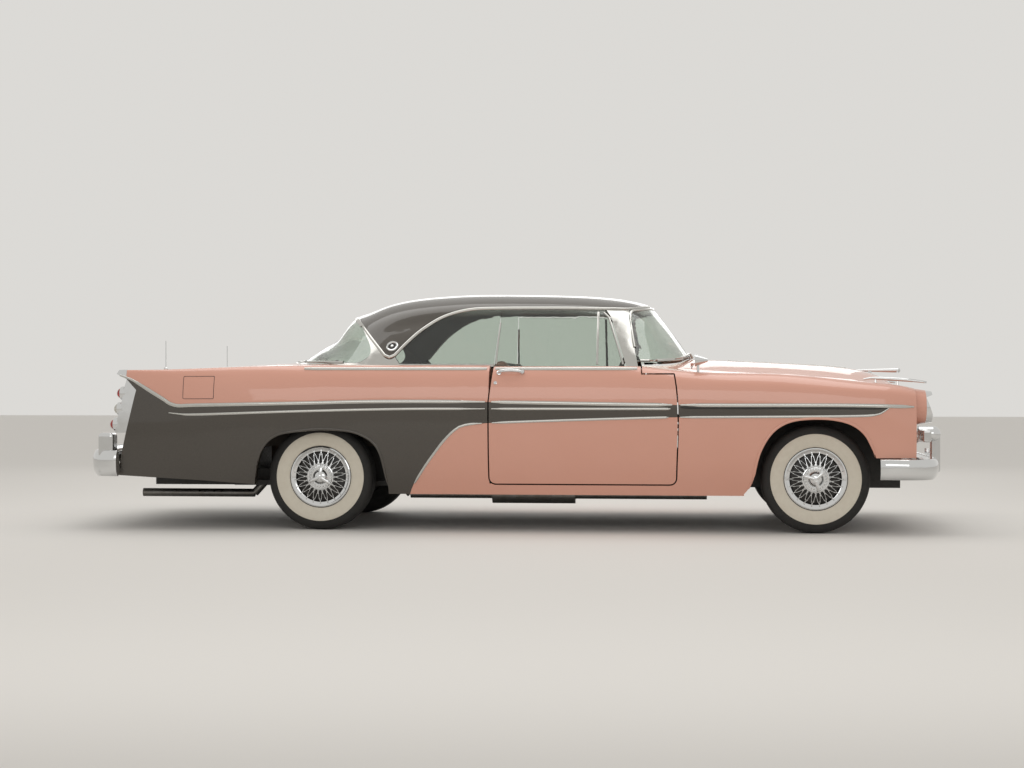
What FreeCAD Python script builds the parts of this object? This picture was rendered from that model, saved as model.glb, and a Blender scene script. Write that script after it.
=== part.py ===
import FreeCAD, Part
import math
import os
import re

import Sketcher
from FreeCAD import Placement, Rotation, Vector

# A two-door hardtop car of the middle 1950s, at full size, in millimetres.
# X points forward, Y to the car's left and Z up. The origin lies on the ground,
# below the middle of the car. Body forms are drawn on a grid, as coach builders do:
# the tables below hold shares of the grid's length, width and height.

SIZES = {
    # drawing grid of the body forms
    "grid_long": 1000,
    "grid_wide": 1000,
    "grid_high": 1000,
    "cut_overrun": 40,
    "panel_gap": 7,
    "seat_gap": 0.3,
    # wheels and axles
    "wheelbase": 3200,
    "front_axle_place": 1980,
    "front_track": 1533,
    "rear_track": 1514,
    "tyre_radius": 347,
    "tread_half_width": 62,
    "tyre_shoulder_radius": 326,
    "tyre_shoulder_half_width": 86,
    "tyre_bulge_radius": 268,
    "tyre_half_width": 96.5,
    "tyre_bead_radius": 196,
    "tyre_bead_half_width": 68,
    "rim_wall": 12,
    "rim_lip_radius": 206,
    "rim_lip_width": 10,
    "cover_ring_radius": 190,
    "cover_dish_radius": 165,
    "cover_dish_depth": 18,
    "cover_disc_radius": 85,
    "cover_disc_rise": 6,
    "cover_hub_radius": 42,
    "cover_hub_rise": 30,
    "drum_radius": 145,
    "drum_back": 75,
    "drum_face": 14,
    "spindle_radius": 20,
    "spindle_gap": 0.05,
    "spindle_stop": 20,
    # front axle
    "kingpin_inset": 116,
    "kingpin_radius": 18,
    "kingpin_half_height": 135,
    "kingpin_pin_radius": 10,
    "kingpin_pin_length": 14,
    "backing_plate_radius": 130,
    "backing_plate_gap": 6,
    "backing_plate_thickness": 7,
    "steering_arm_back": 150,
    "steering_arm_in": 0,
    "steering_arm_drop": 86,
    "steering_arm_width": 30,
    "steering_arm_thickness": 16,
    "ball_pin_radius": 8,
    "ball_pin_gap": 0.1,
    "tie_rod_radius": 12,
    "tie_rod_eye_radius": 20,
    "tie_rod_eye_half": 14,
    "control_arm_thickness": 20,
    "control_arm_spread": 80,
    "control_arm_foot": 40,
    "coil_spring_radius": 55,
    # rear axle
    "axle_tube_radius": 38,
    "axle_bowl_radius": 125,
    "leaf_half_length": 640,
    "leaf_width": 60,
    "leaf_thickness": 34,
    "leaf_place": 540,
    # frame
    "rail_place": 400,
    "rail_width": 80,
    "rail_height": 110,
    "rail_top": 380,
    "frame_front": 2560,
    "frame_rear": -2440,
    "crossmember_width": 110,
    "crossmember_height": 30,
    "kick_reach": 370,
    "kick_width": 110,
    "kick_height": 90,
    "engine_mount_place": 1640,
    # floor
    "floor_top": 400,
    "floor_thickness": 20,
    "floor_half_width": 795,
    "sill_foot_reach": 818,
    "sill_foot_bottom": 245,
    "sill_foot_top": 300,
    "sill_foot_rear": -95,
    "sill_foot_front": 1045,
    "firewall_place": 1150,
    "firewall_top": 1030,
    "firewall_half_width": 690,
    "heel_place": -420,
    "tunnel_half_width": 140,
    "tunnel_rise": 110,
    "trunk_floor_top": 560,
    "trunk_floor_half_width": 600,
    "trunk_floor_rear": -2470,
    "bulkhead_place": -1130,
    "shelf_rear": -1540,
    "shelf_top": 1030,
    "wheelhouse_reach": 410,
    "wheelhouse_top": 770,
    "wheelhouse_outer": 868,
    "apron_place": 465,
    "apron_reach": 895,
    "apron_notch_half": 100,
    "apron_notch_top": 530,
    "apron_top": 830,
    "apron_front": 2560,
    "radiator_place": 2440,
    "radiator_top": 930,
    # engine and underside
    "engine_front": 2100,
    "engine_rear": 1330,
    "engine_half_width": 250,
    "engine_bottom": 330,
    "engine_top": 880,
    "gearbox_radius": 110,
    "gearbox_rear": 760,
    "propshaft_radius": 36,
    "propshaft_height": 340,
    "exhaust_radius": 28,
    "exhaust_place": 330,
    "exhaust_height": 208,
    "exhaust_front": 1300,
    "exhaust_kick": -880,
    "exhaust_over_axle": 505,
    "exhaust_outlet": -2560,
    "exhaust_bend": 90,
    "hanger_width": 30,
    "hanger_thickness": 15,
    "muffler_length": 560,
    "muffler_radius": 60,
    "muffler_front": 420,
    "tank_front": -1800,
    "tank_rear": -2310,
    "tank_half_width": 300,
    "tank_bottom": 300,
    "tank_edge_radius": 45,
    # doors
    "door_hinge_place": 1050,
    "door_hinge_inset": 948,
    "door_gap": 9,
    "door_inner_face": 815,
    "door_hinge_height": 850,
    "door_hinge_drop": 210,
    "hinge_pin_radius": 5,
    "hinge_pin_gap": 0.1,
    "hinge_knuckle_radius": 10,
    "hinge_knuckle_half": 15,
    "hinge_pocket_half": 22,
    "hinge_pocket_back": 16,
    "hinge_pocket_skin": 11,
    "hinge_pocket_depth": 90,
    "hinge_leg_reach": 62,
    "hinge_leg_width": 12,
    # lids
    "hood_hinge_place": 1315,
    "hood_hinge_height": 1000,
    "hood_edge_radius": 130,
    "lid_hinge_place": -1665,
    "lid_hinge_height": 1000,
    "lid_edge_radius": 105,
    "lid_arm_place": 560,
    "lid_arm_width": 12,
    "lid_arm_radius": 16,
    "lid_arm_gap": 6,
    "lid_pin_radius": 6,
    "lid_pin_gap": 0.1,
    # cabin
    "cabin_skin": 35,
    "pillar_skin": 28,
    "glass_thickness": 8,
    # lamps
    "headlamp_place": 765,
    "headlamp_height": 808,
    "headlamp_radius": 90,
    "headlamp_bezel_radius": 122,
    "headlamp_hood_front": 2712,
    "headlamp_face": 2650,
    "headlamp_back": 2560,
    "lens_rise": 26,
    "parking_lamp_place": 690,
    "parking_lamp_height": 610,
    "parking_lamp_radius": 48,
    "lamp_hood_slant": 20,
    "tail_tower_inner": 850,
    "tail_tower_outer": 936,
    "tail_lamp_side": 893,
    "tail_lamp_radius": 36,
    "tail_lamp_length": 50,
    "grille_half_width": 545,
    "grille_half_height": 118,
    "grille_height": 715,
    "grille_frame_radius": 22,
    "grille_face": 2640,
    "grille_bar_radius": 5,
    "grille_bar_pitch": 26,
    "plate_half_width": 165,
    "plate_half_height": 82,
    "plate_thickness": 4,
    "plate_hole_spacing": 178,
    "plate_hole_radius": 3.5,
    "front_plate_place": 2801.5,
    "front_plate_height": 430,
    "rear_plate_place": 2805.5,
    "rear_plate_height": 445,
    "pod_place": 2655,
    "pod_side": 600,
    "pod_height": 630,
    "pod_radius": 52,
    "pod_length": 90,
    "bumper_edge_radius": 22.5,
    "guard_edge_radius": 11.25,
    # inside
    "seat_width": 1360,
    "seat_cushion_height": 670,
    "seat_cushion_length": 540,
    "seat_back_height": 500,
    "seat_back_thickness": 150,
    "front_seat_place": 330,
    "rear_seat_place": -620,
    "rear_seat_width": 1140,
    "seat_rake": 18,
    "seat_edge_radius": 45,
    "column_radius": 24,
    "steering_wheel_radius": 215,
    "steering_rim_radius": 12,
    "steering_wheel_place": 640,
    "steering_wheel_height": 960,
    "steering_wheel_side": 370,
    "steering_tilt": 62,
    "steering_hub_radius": 34,
    "steering_spoke_radius": 8,
    "steering_column_length": 538,
    "dash_rear": 890,
    "dash_top": 1040,
    "dash_bottom": 866,
    "dash_half_width": 760,
    "dash_edge_radius": 60,
    # outside details
    "antenna_place": -2266,
    "antenna_side": 800,
    "antenna_foot_height": 1038,
    "antenna_post_low": 985,
    "antenna_post_radius": 9,
    "antenna_top": 1238,
    "antenna_radius": 3,
    "antenna_ball_radius": 14,
    "mirror_place": 1235,
    "mirror_side": 850,
    "mirror_foot_height": 1022,
    "mirror_head_height": 1105,
    "mirror_head_radius": 42,
    "mirror_stem_radius": 9,
    "ornament_front": 2616,
    "ornament_rear": 2318,
    "ornament_height": 1046,
    "ornament_half_width": 16,
    "ornament_tail_radius": 6,
    "ornament_stand_rear": 2398,
    "ornament_stand_front": 2422,
    "ornament_stand_low": 1010,
}

document = FreeCAD.newDocument("HardtopCar")
sheet = document.addObject("Spreadsheet::Sheet", "Sizes")
for row, (size_name, size_value) in enumerate(SIZES.items(), 1):
    sheet.set("A%d" % row, size_name)
    sheet.set("B%d" % row, str(size_value))
    sheet.setAlias("B%d" % row, size_name)
document.recompute()

nodes = {}


def bound(text):
    """Turns a sum of size names into an expression on the sheet."""
    return re.sub("[a-z_]+", lambda m: "Sizes." + m.group() if m.group() in SIZES else m.group(), text)


def value(text):
    """The present value of a sum of size names."""
    result = sheet.evalExpression(bound(text))
    return float(getattr(result, "Value", result))


# Number helpers for the body forms

def smooth_curve(places, heights):
    """A curve through the points that never swings past them."""
    count = len(places)
    steps = [places[i + 1] - places[i] for i in range(count - 1)]
    slopes = [(heights[i + 1] - heights[i]) / steps[i] for i in range(count - 1)]
    tangents = [slopes[0]] + [0] * (count - 2) + [slopes[-1]]
    for i in range(1, count - 1):
        if slopes[i - 1] * slopes[i] > 0:
            before = 2 * steps[i] + steps[i - 1]
            after = steps[i] + 2 * steps[i - 1]
            tangents[i] = (before + after) / (before / slopes[i - 1] + after / slopes[i])

    def at(place):
        i = 0
        while i < count - 2 and place > places[i + 1]:
            i += 1
        step = steps[i]
        part = (place - places[i]) / step
        rest = 1 - part
        return (
            (1 + 2 * part) * rest * rest * heights[i]
            + part * rest * rest * step * tangents[i]
            + part * part * (3 - 2 * part) * heights[i + 1]
            - part * part * rest * step * tangents[i + 1]
        )

    return at


def read_lines(line_shares):
    """Each named line as two curves, its Y and its Z along X."""
    lines = []
    for points in line_shares.values():
        ordered = sorted(points)
        places = [point[0] for point in ordered]
        lines.append((
            smooth_curve(places, [point[1] for point in ordered]),
            smooth_curve(places, [point[2] for point in ordered]),
        ))
    return lines


def section(lines, share, inset_shares=None):
    """Half a cross-section from the middle down to the foot, in millimetres."""
    points = []
    for number, (side_curve, height_curve) in enumerate(lines):
        inset = inset_shares[number] if inset_shares else (0, 0)
        points.append((
            (side_curve(share) + inset[0]) * value("grid_wide"),
            (height_curve(share) + inset[1]) * value("grid_high"),
        ))
    return points


def inward(points, depth):
    """The half section moved inwards by a depth, square to itself."""
    moved = []
    for number, (side, height) in enumerate(points):
        before = points[number - 1] if number else (-points[1][0], points[1][1])
        after = points[min(number + 1, len(points) - 1)]
        run_side, run_height = after[0] - before[0], after[1] - before[1]
        run = math.hypot(run_side, run_height)
        moved.append((side + run_height / run * depth, height - run_side / run * depth))
    return moved


def form(sections):
    """A closed solid through half sections, mirrored; each is (X, points)."""
    rows = []
    for place, points in sections:
        left = [Vector(place, side, height) for side, height in points]
        right = [Vector(place, -side, height) for side, height in reversed(points[1:])]
        rows.append(right + left)
    knots = [0]
    for number in range(1, len(rows[0])):
        spans = [row[number].distanceToPoint(row[number - 1]) for row in rows]
        knots.append(knots[-1] + math.sqrt(sum(spans) / len(spans)))
    wires = []
    for row in rows:
        curve = Part.BSplineCurve()
        curve.interpolate(Points=row, Parameters=knots)
        wires.append(Part.Wire([curve.toShape(), Part.makeLine(row[-1], row[0])]))
    return Part.makeLoft(wires, True, False)


def grid_point(share_pair, across=False):
    """A point of a side outline (X, Z), or of a plan outline (X, Y)."""
    first = share_pair[0] * value("grid_long")
    if across:
        return Vector(first, share_pair[1] * value("grid_wide"), 0)
    return Vector(first, 0, share_pair[1] * value("grid_high"))


def outline(runs, across=False):
    """A closed wire from runs of points: two make a line, more make a curve."""
    edges = []
    for run in runs:
        points = [grid_point(pair, across) for pair in run]
        if len(points) == 2:
            edges.append(Part.makeLine(points[0], points[1]))
        else:
            curve = Part.BSplineCurve()
            curve.interpolate(points)
            edges.append(curve.toShape())
    return Part.Wire(edges)


def chain(*corners):
    """Straight runs from corner to corner, closed."""
    return [(corners[i], corners[(i + 1) % len(corners)]) for i in range(len(corners))]


def side_prism(wire, low, high):
    """A side outline pushed across the car from one Y to another."""
    face = Part.Face(wire)
    face.translate(Vector(0, low, 0))
    return face.extrude(Vector(0, high - low, 0))


def plan_prism(wire, low, high):
    """A plan outline pushed up from one Z to another."""
    face = Part.Face(wire)
    face.translate(Vector(0, 0, low))
    return face.extrude(Vector(0, 0, high - low))


def block(low, high):
    """A box between two corners."""
    size = high - low
    return Part.makeBox(size.x, size.y, size.z, low)


def mirrored(shape):
    """The same shape on the other side of the car."""
    return shape.mirror(Vector(0, 0, 0), Vector(0, 1, 0))


# Document helpers

def panel(label, shape):
    """A sub-part whose curved shape is set from the body forms."""
    item = document.addObject("Part::Feature", label)
    item.Shape = shape
    item.Placement = Placement()
    item.Label = label
    nodes[label] = item
    return item


def name_node(item, label):
    item.Label = label
    nodes[label] = item
    return item


def bind(item, **texts):
    for prop, text in texts.items():
        item.setExpression(prop.replace("__", "."), bound(text))


def move(item, x="0", y="0", z="0"):
    """Binds an object's place to sums of sizes."""
    bind(item, Placement__Base__x=x, Placement__Base__y=y, Placement__Base__z=z)
    return item


def box_between(label, x, y, z):
    """A Part box whose low and high X, Y and Z are sums of sizes."""
    item = document.addObject("Part::Box", label)
    bind(item, Length="(%s) - (%s)" % (x[1], x[0]))
    bind(item, Width="(%s) - (%s)" % (y[1], y[0]))
    bind(item, Height="(%s) - (%s)" % (z[1], z[0]))
    return move(item, x[0], y[0], z[0])


def rod(label, radius, height, x, y, z, axis="Z"):
    """A Part cylinder along an axis, from a foot point."""
    item = document.addObject("Part::Cylinder", label)
    bind(item, Radius=radius, Height=height)
    turns = {"X": Rotation(Vector(0, 1, 0), 90), "Y": Rotation(Vector(1, 0, 0), -90), "Z": Rotation()}
    item.Placement = Placement(Vector(), turns[axis])
    return move(item, x, y, z)


def united(label, items):
    item = document.addObject("Part::MultiFuse", label)
    item.Shapes = items
    return item


def gathered(label, items):
    item = document.addObject("Part::Compound", label)
    item.Links = items
    return item


def less(label, base, tool):
    item = document.addObject("Part::Cut", label)
    item.Base = base
    item.Tool = tool
    return item


def mirror_of(label, source):
    item = document.addObject("Part::Mirroring", label)
    item.Source = source
    item.Normal = Vector(0, 1, 0)
    return item


def both_sides(label, source):
    """The piece and its mirror image."""
    return [source, mirror_of(label, source)]


def origin_plane(body, role):
    return [item for item in body.Origin.OriginFeatures if item.Role == role][0]


def draw(body, role, corners, closed=True):
    """A sketch of straight lines whose corners are sums of sizes."""
    sketch = body.newObject("Sketcher::SketchObject", body.Name + "Outline")
    sketch.AttachmentSupport = [(origin_plane(body, role), "")]
    sketch.MapMode = "FlatFace"
    places = [Vector(value(x), value(y), 0) for x, y in corners]
    for number, place in enumerate(places):
        sketch.addGeometry(Part.LineSegment(place, places[(number + 1) % len(places)]), False)
    for number in range(len(places)):
        sketch.addConstraint(Sketcher.Constraint("Coincident", number, 2, (number + 1) % len(places), 1))
    for number, (x, y) in enumerate(corners):
        for kind, text in (("DistanceX", x), ("DistanceY", y)):
            index = sketch.addConstraint(Sketcher.Constraint(kind, -1, 1, number, 1, value(text)))
            sketch.setExpression("Constraints[%d]" % index, bound(text))
    return sketch


def turned_body(label, corners):
    """A PartDesign body of revolution about its own Y axis: (radius, reach)."""
    body = document.addObject("PartDesign::Body", label)
    sketch = draw(body, "XY_Plane", corners)
    turn = body.newObject("PartDesign::Revolution", label + "Turn")
    turn.Profile = sketch
    turn.ReferenceAxis = (sketch, ["V_Axis"])
    turn.Angle = 360
    return body


def padded_body(label, role, corners, length, fillet=None):
    """A PartDesign body: an outline padded both ways, its long edges rounded."""
    body = document.addObject("PartDesign::Body", label)
    sketch = draw(body, role, corners)
    pad = body.newObject("PartDesign::Pad", label + "Pad")
    pad.Profile = sketch
    pad.Midplane = True
    pad.setExpression("Length", bound(length))
    document.recompute()
    if fillet:
        rounding = body.newObject("PartDesign::Fillet", label + "Rounding")
        rounding.Base = (pad, ["Edge%d" % (i + 1) for i in range(len(pad.Shape.Edges))])
        rounding.setExpression("Radius", bound(fillet))
    return body

body_line_shares = {
    "centre line": (
        (2.6, 0, 0.9), (2.5, 0, 0.985), (2.4, 0, 1.028), (2.292, 0, 1.054), (2, 0, 1.083),
        (1.63, 0, 1.104), (1.34, 0, 1.118), (1.1, 0, 1.126), (0.85, 0, 1.115), (-1.3, 0, 1.108),
        (-1.6, 0, 1.094), (-1.8, 0, 1.086), (-2, 0, 1.072), (-2.2, 0, 1.044), (-2.4, 0, 0.985),
        (-2.5, 0, 0.9), (-2.56, 0, 0.83),
    ),
    "inner third": (
        (2.6, 0.2, 0.896), (2.5, 0.205, 0.979), (2.4, 0.21, 1.021), (2.292, 0.215, 1.047),
        (2, 0.225, 1.076), (1.63, 0.235, 1.097), (1.34, 0.24, 1.111), (1.1, 0.24, 1.12),
        (0.85, 0.24, 1.112), (-1.3, 0.24, 1.105), (-1.6, 0.24, 1.091), (-1.8, 0.24, 1.082),
        (-2, 0.24, 1.067), (-2.2, 0.24, 1.039), (-2.4, 0.235, 0.98), (-2.5, 0.23, 0.895),
        (-2.56, 0.228, 0.825),
    ),
    "outer third": (
        (2.6, 0.4, 0.888), (2.5, 0.41, 0.956), (2.4, 0.42, 0.993), (2.292, 0.43, 1.018),
        (2, 0.45, 1.047), (1.63, 0.465, 1.07), (1.34, 0.475, 1.085), (1.1, 0.475, 1.1),
        (0.85, 0.475, 1.103), (-1.3, 0.475, 1.097), (-1.6, 0.475, 1.078), (-2, 0.475, 1.05),
        (-2.2, 0.475, 1.02), (-2.4, 0.465, 0.962), (-2.5, 0.455, 0.882),
        (-2.56, 0.452, 0.815),
    ),
    "bonnet edge": (
        (2.6, 0.6, 0.88), (2.5, 0.61, 0.925), (2.4, 0.625, 0.953), (2.292, 0.64, 0.974),
        (2, 0.67, 1.001), (1.63, 0.695, 1.023), (1.34, 0.71, 1.04), (1.1, 0.715, 1.062),
        (0.85, 0.72, 1.085), (-1.3, 0.71, 1.08), (-1.6, 0.69, 1.052), (-2, 0.68, 1.018),
        (-2.2, 0.675, 0.985), (-2.4, 0.665, 0.935), (-2.5, 0.655, 0.868),
        (-2.56, 0.65, 0.81),
    ),
    "crown foot": (
        (2.6, 0.72, 0.903), (2.5, 0.74, 0.934), (2.292, 0.76, 0.964), (2, 0.785, 0.992),
        (1.63, 0.8, 1.016), (1.34, 0.805, 1.028), (1.1, 0.815, 1.045), (0.85, 0.83, 1.075),
        (-0.8, 0.83, 1.077), (-1.3, 0.8, 1.073), (-1.6, 0.79, 1.056), (-2, 0.8, 1.036),
        (-2.2, 0.81, 1.015), (-2.4, 0.82, 0.992), (-2.5, 0.825, 0.975),
        (-2.56, 0.827, 0.965),
    ),
    "wing crown": (
        (2.6, 0.8, 0.926), (2.5, 0.825, 0.947), (2.292, 0.85, 0.966), (2, 0.862, 0.995),
        (1.63, 0.868, 1.018), (1.34, 0.872, 1.022), (1.1, 0.882, 1.034), (0.85, 0.895, 1.055),
        (-0.8, 0.893, 1.06), (-1.3, 0.88, 1.07), (-1.6, 0.88, 1.068), (-2, 0.892, 1.056),
        (-2.2, 0.9, 1.049), (-2.4, 0.907, 1.046), (-2.5, 0.908, 1.045),
        (-2.56, 0.908, 1.044),
    ),
    "shoulder": (
        (2.6, 0.885, 0.9), (2.5, 0.908, 0.918), (2.292, 0.928, 0.93), (2, 0.937, 0.952),
        (1.63, 0.94, 0.973), (1.34, 0.939, 0.98), (1.1, 0.938, 0.988), (0.85, 0.938, 0.998),
        (-0.8, 0.937, 1.003), (-1.3, 0.936, 1.01), (-1.6, 0.932, 1.012), (-2, 0.936, 1.005),
        (-2.2, 0.937, 1), (-2.4, 0.935, 0.995), (-2.5, 0.932, 0.992),
        (-2.56, 0.93, 0.99),
    ),
    "upper side": (
        (2.6, 0.918, 0.85), (2.5, 0.94, 0.865), (2.292, 0.958, 0.878), (2, 0.967, 0.895),
        (1.63, 0.97, 0.905), (1.1, 0.965, 0.915), (0.85, 0.961, 0.92), (-0.8, 0.96, 0.925),
        (-1.3, 0.962, 0.93), (-1.6, 0.96, 0.932), (-2, 0.957, 0.93), (-2.2, 0.954, 0.925),
        (-2.4, 0.948, 0.92), (-2.5, 0.943, 0.915), (-2.56, 0.939, 0.912),
    ),
    "widest line": (
        (2.6, 0.932, 0.775), (2.5, 0.952, 0.785), (2.292, 0.97, 0.793), (2, 0.978, 0.8),
        (1.63, 0.979, 0.808), (1.1, 0.973, 0.818), (0.85, 0.97, 0.822), (-0.8, 0.968, 0.826),
        (-1.3, 0.973, 0.828), (-1.6, 0.972, 0.828), (-2, 0.968, 0.822), (-2.2, 0.963, 0.818),
        (-2.4, 0.955, 0.812), (-2.5, 0.949, 0.808), (-2.56, 0.945, 0.806),
    ),
    "middle side": (
        (2.6, 0.936, 0.64), (2.5, 0.954, 0.64), (2, 0.974, 0.64), (1.1, 0.966, 0.64),
        (-0.8, 0.962, 0.64), (-1.3, 0.97, 0.645), (-2, 0.969, 0.65), (-2.4, 0.957, 0.65),
        (-2.5, 0.951, 0.65), (-2.56, 0.947, 0.65),
    ),
    "lower side": (
        (2.6, 0.926, 0.47), (2.5, 0.942, 0.47), (2, 0.956, 0.46), (1.1, 0.944, 0.455),
        (-0.8, 0.94, 0.46), (-1.3, 0.95, 0.47), (-2, 0.956, 0.48), (-2.5, 0.94, 0.48),
        (-2.56, 0.93, 0.48),
    ),
    "tuck": (
        (2.6, 0.9, 0.33), (2, 0.918, 0.32), (1.1, 0.908, 0.32), (-0.8, 0.905, 0.32),
        (-1.3, 0.915, 0.325), (-2, 0.926, 0.34), (-2.5, 0.916, 0.34), (-2.56, 0.91, 0.34),
    ),
    "sill line": (
        (2.6, 0.88, 0.24), (2, 0.892, 0.24), (1.1, 0.884, 0.24), (-0.8, 0.882, 0.24),
        (-1.3, 0.89, 0.24), (-2, 0.905, 0.24), (-2.5, 0.896, 0.24), (-2.56, 0.892, 0.24),
    ),
}
cabin_line_shares = {
    "roof centre": (
        (1.24, 0, 1.08), (1.191, 0, 1.139), (1.12, 0, 1.236), (1.05, 0, 1.328), (0.98, 0, 1.42),
        (0.93, 0, 1.475), (0.85, 0, 1.507), (0.75, 0, 1.527), (0.65, 0, 1.54), (0.4, 0, 1.556),
        (0, 0, 1.565), (-0.3, 0, 1.564), (-0.5, 0, 1.553), (-0.7, 0, 1.533), (-0.9, 0, 1.485),
        (-1, 0, 1.449), (-1.1, 0, 1.411), (-1.2, 0, 1.292), (-1.3, 0, 1.218), (-1.4, 0, 1.15),
        (-1.495, 0, 1.112), (-1.56, 0, 1.07),
    ),
    "roof inner": (
        (1.24, 0.25, 1.062), (1.191, 0.25, 1.122), (1.12, 0.25, 1.208), (1.05, 0.25, 1.3),
        (0.98, 0.24, 1.394), (0.93, 0.235, 1.456), (0.85, 0.235, 1.496), (0.75, 0.24, 1.519),
        (0.65, 0.25, 1.532), (0.4, 0.26, 1.548), (0, 0.26, 1.557), (-0.3, 0.26, 1.556),
        (-0.5, 0.26, 1.545), (-0.7, 0.255, 1.524), (-0.9, 0.25, 1.474), (-1, 0.245, 1.436),
        (-1.1, 0.24, 1.392), (-1.2, 0.24, 1.27), (-1.3, 0.24, 1.203), (-1.4, 0.235, 1.138),
        (-1.495, 0.23, 1.1), (-1.56, 0.22, 1.058),
    ),
    "roof outer": (
        (1.24, 0.43, 1.03), (1.191, 0.4, 1.09), (1.12, 0.4, 1.168), (1.05, 0.41, 1.245),
        (0.98, 0.415, 1.335), (0.93, 0.412, 1.403), (0.85, 0.41, 1.464), (0.75, 0.42, 1.494),
        (0.65, 0.43, 1.508), (0.4, 0.44, 1.525), (0, 0.44, 1.534), (-0.3, 0.44, 1.532),
        (-0.5, 0.44, 1.52), (-0.7, 0.435, 1.498), (-0.9, 0.43, 1.444), (-1, 0.425, 1.4),
        (-1.1, 0.415, 1.345), (-1.2, 0.405, 1.23), (-1.3, 0.4, 1.172), (-1.4, 0.39, 1.118),
        (-1.495, 0.38, 1.08), (-1.56, 0.36, 1.04),
    ),
    "roof shoulder": (
        (1.24, 0.54, 0.99), (1.191, 0.52, 1.05), (1.12, 0.525, 1.118), (1.05, 0.53, 1.18),
        (0.98, 0.53, 1.268), (0.93, 0.525, 1.338), (0.85, 0.52, 1.412), (0.75, 0.53, 1.455),
        (0.65, 0.545, 1.47), (0.4, 0.56, 1.484), (0, 0.565, 1.491), (-0.3, 0.565, 1.489),
        (-0.5, 0.56, 1.478), (-0.7, 0.555, 1.452), (-0.9, 0.55, 1.392), (-1, 0.54, 1.345),
        (-1.1, 0.525, 1.285), (-1.2, 0.515, 1.187), (-1.3, 0.51, 1.138), (-1.4, 0.495, 1.096),
        (-1.495, 0.48, 1.06), (-1.56, 0.45, 1.015),
    ),
    "roof rail": (
        (1.24, 0.6, 0.955), (1.191, 0.585, 1.012), (1.12, 0.6, 1.072), (1.05, 0.61, 1.122),
        (0.98, 0.605, 1.205), (0.93, 0.6, 1.272), (0.85, 0.592, 1.352), (0.75, 0.6, 1.41),
        (0.65, 0.612, 1.428), (0.4, 0.622, 1.44), (0, 0.628, 1.444), (-0.3, 0.628, 1.443),
        (-0.5, 0.625, 1.432), (-0.7, 0.622, 1.402), (-0.9, 0.618, 1.34), (-1, 0.61, 1.292),
        (-1.1, 0.6, 1.23), (-1.2, 0.59, 1.146), (-1.3, 0.585, 1.11), (-1.4, 0.57, 1.076),
        (-1.495, 0.55, 1.04), (-1.56, 0.52, 0.985),
    ),
    "upper glass": (
        (1.24, 0.65, 0.915), (1.191, 0.65, 0.965), (1.12, 0.675, 1.015), (1.05, 0.69, 1.06),
        (0.98, 0.678, 1.132), (0.93, 0.668, 1.195), (0.85, 0.655, 1.275), (0.75, 0.655, 1.345),
        (0.65, 0.66, 1.365), (0.4, 0.665, 1.375), (0, 0.667, 1.378), (-0.3, 0.667, 1.377),
        (-0.5, 0.666, 1.366), (-0.7, 0.665, 1.338), (-0.9, 0.665, 1.285), (-1, 0.662, 1.238),
        (-1.1, 0.655, 1.178), (-1.2, 0.645, 1.11), (-1.3, 0.64, 1.085), (-1.4, 0.625, 1.052),
        (-1.495, 0.605, 1.012), (-1.56, 0.57, 0.955),
    ),
    "middle glass": (
        (1.24, 0.69, 0.88), (1.191, 0.7, 0.925), (1.12, 0.73, 0.965), (1.05, 0.745, 1.01),
        (0.98, 0.738, 1.068), (0.93, 0.728, 1.122), (0.85, 0.712, 1.195), (0.75, 0.712, 1.262),
        (0.65, 0.715, 1.285), (0.4, 0.72, 1.29), (0, 0.722, 1.29), (-0.5, 0.721, 1.285),
        (-0.7, 0.72, 1.262), (-0.9, 0.718, 1.215), (-1, 0.715, 1.178), (-1.1, 0.708, 1.128),
        (-1.2, 0.695, 1.08), (-1.3, 0.685, 1.06), (-1.4, 0.67, 1.025), (-1.495, 0.65, 0.98),
        (-1.56, 0.61, 0.925),
    ),
    "lower glass": (
        (1.24, 0.73, 0.84), (1.191, 0.745, 0.88), (1.12, 0.775, 0.92), (1.05, 0.79, 0.965),
        (0.98, 0.79, 1.012), (0.93, 0.785, 1.055), (0.85, 0.778, 1.11), (0.75, 0.793, 1.132),
        (0.65, 0.803, 1.135), (0.4, 0.81, 1.135), (-0.5, 0.812, 1.13), (-0.7, 0.808, 1.122),
        (-0.9, 0.8, 1.105), (-1, 0.79, 1.086), (-1.1, 0.775, 1.062), (-1.2, 0.755, 1.04),
        (-1.3, 0.74, 1.02), (-1.4, 0.72, 0.985), (-1.495, 0.69, 0.94), (-1.56, 0.65, 0.885),
    ),
    "glass foot": (
        (1.24, 0.76, 0.8), (1.191, 0.78, 0.82), (1.12, 0.81, 0.84), (1.05, 0.83, 0.87),
        (0.98, 0.835, 0.91), (0.93, 0.835, 0.94), (0.85, 0.835, 0.97), (0.75, 0.852, 0.985),
        (0.65, 0.865, 0.985), (0.4, 0.872, 0.985), (-0.5, 0.875, 0.985), (-0.7, 0.872, 0.985),
        (-0.9, 0.862, 0.975), (-1, 0.852, 0.965), (-1.1, 0.835, 0.95), (-1.2, 0.81, 0.93),
        (-1.3, 0.79, 0.91), (-1.4, 0.77, 0.88), (-1.495, 0.74, 0.84), (-1.56, 0.7, 0.8),
    ),
    "hidden foot": (
        (1.24, 0.775, 0.5), (0.85, 0.850, 0.5), (0.4, 0.887, 0.5), (-0.7, 0.887, 0.5),
        (-1.2, 0.822, 0.5), (-1.56, 0.715, 0.5),
    ),
}

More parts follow.
